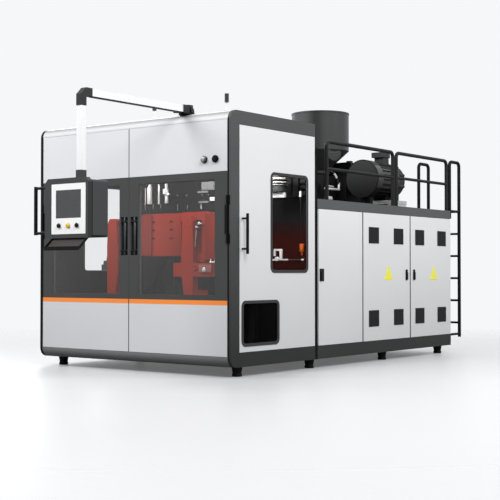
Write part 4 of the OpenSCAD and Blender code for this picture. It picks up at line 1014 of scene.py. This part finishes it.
def add_arm_fittings():
    fitting("platen_arm_pins", [rod(*row) for row in ARM_PINS], bright_steel, "front_clamp")
    fitting("cross_block_plate", [block(*CROSS_PLATE)], plate_primer, "front_clamp")
    grease = [block(*GREASE_BAR)] + [upright(*row) for row in GREASE_CUPS]
    fitting("platen_arm_couplings", grease, white_fitting, "front_clamp")
    steps = [block((x, LUG_Y[0], low), (LUG_INNER, LUG_Y[1], high), 3)
             for x, low, high in LUG_STEPS]
    fitting("left_arm_lug", steps, guard_paint, "front_clamp")


# Spacers on the posts of the right side door's grip, and the plate behind the first latch

GRIP_Y = 182
GRIP_REACH = 58
SPACER_R = 10
GRIP_POSTS = (1251, 1548)
LATCH_PLATE = (
    ((HALF_W, 1527, 926), (HALF_W + 2, 1614, 1062), 0.6, 1),
    ((HALF_W, 1577, 934), (HALF_W + 4, 1583, 1054), 1.0, 1),
)


def add_door_trim():
    posts = [rod((HALF_W - 1, GRIP_Y, z), (HALF_W + GRIP_REACH, GRIP_Y, z), SPACER_R, 1.5, 24)
             for z in GRIP_POSTS]
    fitting("side_grip_spacers", posts, black_plastic, "side_door_right")
    fitting("cabinet_door_1_latch_plate", [block(*row) for row in LATCH_PLATE], black_plastic,
            "cabinet_leaf_1")


# Manifold, shelf, valve bank, filter and bracket behind the right side window

SIDE_Y = 1180
TIE_Z = 1155
MANIFOLD = (1096, 1120)
MANIFOLD_CORE = (*MANIFOLD, 1870, 2060, 84, 32)
# Height, thickness and radius
DISCS = ((1938, 8, 104), (1958, 16, 122), (1994, 22, 126), (2032, 12, 112))
SHELF = (
    ((990, SIDE_Y - 60, 1812), (1172, SIDE_Y - 30, 1862), 3),
    ((1018, SIDE_Y - 60, 1884), (1170, SIDE_Y - 40, 1899), 2, 1),
    ((1234, 1296, 1822), (1260, 1306, 1882), 2, 1),
)
BANK = (
    ((1017, 1380, 1838), (1070, 1436, 2036), 4),
    ((1090, 1380, 1838), (1162, 1436, 2036), 4),
    ((1176, 1390, 1850), (1242, 1436, 1890), 3, 1),
    ((1176, 1390, 1912), (1242, 1436, 1952), 3, 1),
    ((1176, 1390, 1974), (1242, 1436, 2014), 3, 1),
)
LEAD = (1238, 1320, 1330, 1826, 5, 12)
FILTER = ((1241, 1340, 1244, 1326, 25, 24), (1241, 1340, 1205, 1244, 10, 16))
BRACKET_BLOCKS = (
    ((991, SIDE_Y - 12, 1196), (1011, SIDE_Y + 12, 1262), 4),
    ((1070, SIDE_Y - 12, 1160), (1096, SIDE_Y + 12, 1262), 4),
    ((998, SIDE_Y - 14, 1250), (1090, SIDE_Y + 14, 1270), 4),
)
BRACKET_RODS = (
    ((955, SIDE_Y, TIE_Z), (1174, SIDE_Y, TIE_Z), 8, 1, 16),
    ((1040, SIDE_Y - 26, 1165), (1040, SIDE_Y, 1165), 23, 3, 24),
    ((1296, 1250, TIE_Z), (1322, 1250, TIE_Z), 9, 2, 16),
)
TIE_BAR = ((1174, SIDE_Y, TIE_Z), (1300, 1250, TIE_Z), 6, 1, 16)


def add_side_fittings():
    discs = [upright(*MANIFOLD, z, z + thick, radius, 48) for z, thick, radius in DISCS]
    fitting("side_manifold", discs, pale_casting)
    fitting("side_manifold_core", [upright(*MANIFOLD_CORE)], guard_paint)
    fitting("side_shelf", [block(*row) for row in SHELF], white_fitting)
    fitting("side_valve_bank", [block(*row) for row in BANK], guard_paint)
    fitting("side_cable", [upright(*LEAD)], black_plastic)
    fitting("side_filter", [upright(*row) for row in FILTER], orange_plastic)
    bracket = [block(*row) for row in BRACKET_BLOCKS] + [rod(*row) for row in BRACKET_RODS]
    fitting("side_bracket", bracket, white_fitting)
    fitting("side_tie_bar", [rod(*TIE_BAR)], guard_paint)


# Coolant pipes under the hopper

PIPE_X = 300
ELBOW = ((PIPE_X, 3400, 2262), (PIPE_X, 3432, 2243), (PIPE_X, 3460, 2214))
DROP = (PIPE_X, 3510, 2062, 2150, 13, 16)
LOW_PIPE = ((PIPE_X, 3200, 2066), (PIPE_X, 3520, 2066), 14, 2, 16)
THIN_LINE = ((PIPE_X, 3200, 2104), (PIPE_X, 3390, 2098), 8, 1, 12)
PIPE_FOOT = ((280, 3216, 1930), (330, 3316, 1968), 3)
DARK_RUN = ((PIPE_X, 3300, 2290), (PIPE_X, 3400, 2262), (PIPE_X, 3480, 2190),
            (PIPE_X, 3510, 2120))
PIPE_POST = (PIPE_X, 3266, 1960, 2066, 10, 16)


def add_rear_pipes():
    bright = [pipe(ELBOW, 13), upright(*DROP), rod(*LOW_PIPE), rod(*THIN_LINE),
              block(*PIPE_FOOT)]
    fitting("feed_cooling_pipes", bright, white_fitting)
    fitting("feed_pipe_runs", [pipe(DARK_RUN, 9), upright(*PIPE_POST)], guard_paint)


# Lid of the hopper's port, rim of the motor's cowl, knob cap and button rings

PORT_TURN = math.radians(-25)
PORT_Z = 2520
PORT_REACH = 330.3
LID_R = 96
LID_THICK = 10
RIB_PITCH = 20
RIB_W = 8
RIBS_EACH_WAY = 4
RIB_INSET = 6
RIB_PROUD = 3
COWL_RIM = ((739, 3354, 2176), 228, 5)
KNOB_X = 1016
KNOB_Z = 2126
KNOB_CAP = (
    ((KNOB_X, -38, KNOB_Z), (KNOB_X, -15, KNOB_Z), 26, 3, 32),
    ((KNOB_X, -22, KNOB_Z), (KNOB_X, -12, KNOB_Z), 30, 2, 32),
)
BUTTON_X = (621, 736, 848)
BUTTON_Y = -1555
BUTTON_Z = 1437
BUTTON_RING = (23.5, 2.0)


def add_port_lid():
    """A round lid with flat ribs across, turned the way the port points."""
    out = Vector((math.cos(PORT_TURN), math.sin(PORT_TURN), 0))
    middle = Vector((0, HOPPER_Y, PORT_Z)) + out * PORT_REACH
    parts = [rod(middle, middle + out * LID_THICK, LID_R, 3, 48)]
    for i in range(-RIBS_EACH_WAY, RIBS_EACH_WAY + 1):
        height = i * RIB_PITCH
        half = math.sqrt(LID_R ** 2 - height ** 2) - RIB_INSET
        centre = middle + out * (LID_THICK + RIB_PROUD) + Vector((0, 0, height))
        parts.append(turned_block(centre, (RIB_W, 2 * half, RIB_W), PORT_TURN))
    fitting("hopper_port_lid", parts, lid_paint)


def add_trim():
    add_port_lid()
    fitting("motor_cowl_rim", [ring(*COWL_RIM)], dark_paint)
    fitting("left_knob_cap", [rod(*row) for row in KNOB_CAP], knob_steel, "front_door_right")
    rings = [ring((x, BUTTON_Y, BUTTON_Z), *BUTTON_RING) for x in BUTTON_X]
    fitting("button_bezels", rings, bare_steel, "panel_head")


# Brake of the swinging arm: a black clamp with a round cheek and a lever

PIVOT_X = 709
PIVOT_Y = 90
CHEEK_PLACE = (PIVOT_X + 4, PIVOT_Y - 22, 2622)
CHEEK_R = 76
CHEEK_THICK = 44
CHEEK_LOW = 2616
BRAKE_PLATE = ((PIVOT_X - 58, PIVOT_Y - 66, 2619), (PIVOT_X + 20, PIVOT_Y - 58, 2698), 3)
BRAKE_POST = (PIVOT_X + 12, PIVOT_Y - 60, 2618, 2698, 12, 16)
BRAKE_LEVER = ((PIVOT_X - 118, PIVOT_Y - 70, 2630), (PIVOT_X - 50, PIVOT_Y - 66, 2622), 7, 2, 16)


def half_disc(place, radius, thick, low):
    """A disc that faces the front, cut off flat at a height."""
    x, y, z = place
    disc = rod(place, (x, y + thick, z), radius, 3, 48)
    keep = block((x - 2 * radius, y - 10, low), (x + 2 * radius, y + thick + 10, z + 2 * radius),
                 0)
    choose(disc)
    cut = disc.modifiers.new("cut", "BOOLEAN")
    cut.operation = "INTERSECT"
    cut.object = keep
    bpy.ops.object.modifier_apply(modifier=cut.name)
    bpy.data.objects.remove(keep, do_unlink=True)
    return disc


def add_arm_brake():
    parts = [half_disc(CHEEK_PLACE, CHEEK_R, CHEEK_THICK, CHEEK_LOW), block(*BRAKE_PLATE),
             upright(*BRAKE_POST), rod(*BRAKE_LEVER)]
    fitting("arm_brake", parts, black_plastic, "panel_arm")


# Floor, backdrop and light, in metres

FLOOR_SIZE = 120
FLOOR_NEAR = 3.5
FLOOR_FAR = 9.0
FLOOR_CLOUD = 0.35
FLOOR_ROUGHNESS = 0.35
FLOOR_TONES = (0.97, 1.0)
FLOOR_SEEN = (0.55, 0.56, 0.57, 1.0)
FLOOR_GLOW = (0.12, 0.12, 0.122, 1.0)
FLOOR_BOUNCE = (0.22, 0.22, 0.22, 1.0)
NO_GLOW = (0.0, 0.0, 0.0, 1.0)
WORLD_COLOUR = (0.97, 0.98, 1.0, 1.0)
WORLD_LIT = 0.30
WORLD_SEEN = 0.95

# Name, place, aim, size and power
LAMPS = (
    ("key lamp", (9.0, -6.5, 8.5), (0.6, -0.6, 2.4), (5.0, 5.0), 950),
    ("front lamp", (-4.0, -8.5, 8.0), (-0.3, -1.6, 2.6), (6.0, 4.0), 860),
    ("rear lamp", (8.5, 3.5, 7.0), (1.3, 1.8, 2.2), (4.0, 4.0), 400),
    ("fill lamp", (-9.0, 5.0, 6.5), (-1.0, 1.5, 1.5), (4.0, 4.0), 260),
    ("top lamp", (0.0, 0.5, 9.0), (0.0, 0.4, 1.0), (7.0, 9.0), 150),
    ("inner lamp", at(0, 70, 2080), at(0, HEAD_Y, 1560), (2.2, 0.08), 14),
    ("side lamp", at(1150, 640, 2150), at(1120, SIDE_Y, 1500), (0.1, 0.4), 14),
)


def add_floor():
    """A pale floor that gives way to the white backdrop with distance, for the camera alone."""
    start_piece()
    bpy.ops.mesh.primitive_plane_add(size=FLOOR_SIZE, location=(0, 0, 0))
    floor = bpy.context.object
    floor.name = "floor"
    material, tree, shader = new_material("pale floor")
    camera_ray = tree.nodes.new("ShaderNodeLightPath").outputs["Is Camera Ray"]
    tone = remap(tree, noise(tree, FLOOR_CLOUD), *NOISE_SPAN, *FLOOR_TONES)
    shade = mix_colours(tree, camera_ray, FLOOR_BOUNCE, FLOOR_SEEN)
    tree.links.new(toned(tree, shade, tone), shader.inputs["Base Color"])
    shader.inputs["Roughness"].default_value = FLOOR_ROUGHNESS
    glow = mix_colours(tree, camera_ray, NO_GLOW, FLOOR_GLOW)
    tree.links.new(glow, shader.inputs["Emission Color"])
    shader.inputs["Emission Strength"].default_value = 1.0
    reach = tree.nodes.new("ShaderNodeVectorMath")
    reach.operation = "LENGTH"
    tree.links.new(own_place(tree), reach.inputs[0])
    away = remap(tree, reach.outputs["Value"], FLOOR_NEAR, FLOOR_FAR, 0.0, 1.0)
    clear = tree.nodes.new("ShaderNodeBsdfTransparent")
    mix = tree.nodes.new("ShaderNodeMixShader")
    tree.links.new(calculate(tree, "MULTIPLY", away, camera_ray), mix.inputs[0])
    tree.links.new(shader.outputs[0], mix.inputs[1])
    tree.links.new(clear.outputs[0], mix.inputs[2])
    tree.links.new(mix.outputs[0], tree.nodes["Material Output"].inputs["Surface"])
    floor.data.materials.append(material)


def add_world():
    """A white backdrop for the camera and for mirrored rays, and a dimmer light on all else."""
    world = bpy.data.worlds.new("studio")
    bpy.context.scene.world = world
    world.use_nodes = True
    tree = world.node_tree
    background = tree.nodes["Background"]
    rays = tree.nodes.new("ShaderNodeLightPath").outputs
    seen = rays["Is Camera Ray"]
    for name in ("Is Glossy Ray", "Is Transmission Ray"):
        seen = calculate(tree, "MAXIMUM", seen, rays[name])
    strength = remap(tree, seen, 0.0, 1.0, WORLD_LIT, WORLD_SEEN)
    tree.links.new(strength, background.inputs["Strength"])
    background.inputs["Color"].default_value = WORLD_COLOUR


def add_lamp(name, place, target, size, power):
    lamp = bpy.data.objects.new(name, bpy.data.lights.new(name, "AREA"))
    bpy.context.scene.collection.objects.link(lamp)
    lamp.data.shape = "RECTANGLE"
    lamp.data.size, lamp.data.size_y = size
    lamp.data.energy = power
    lamp.location = place
    aim = Vector(target) - Vector(place)
    lamp.rotation_euler = aim.to_track_quat("-Z", "Y").to_euler()


add_camera()
dress_nodes()
add_vents()
add_plates()
add_pulls()
add_head_fittings()
add_arm_fittings()
add_door_trim()
add_side_fittings()
add_rear_pipes()
add_trim()
add_arm_brake()
add_floor()
add_world()
for lamp_row in LAMPS:
    add_lamp(*lamp_row)

scene = bpy.context.scene
scene.view_settings.view_transform = "Standard"
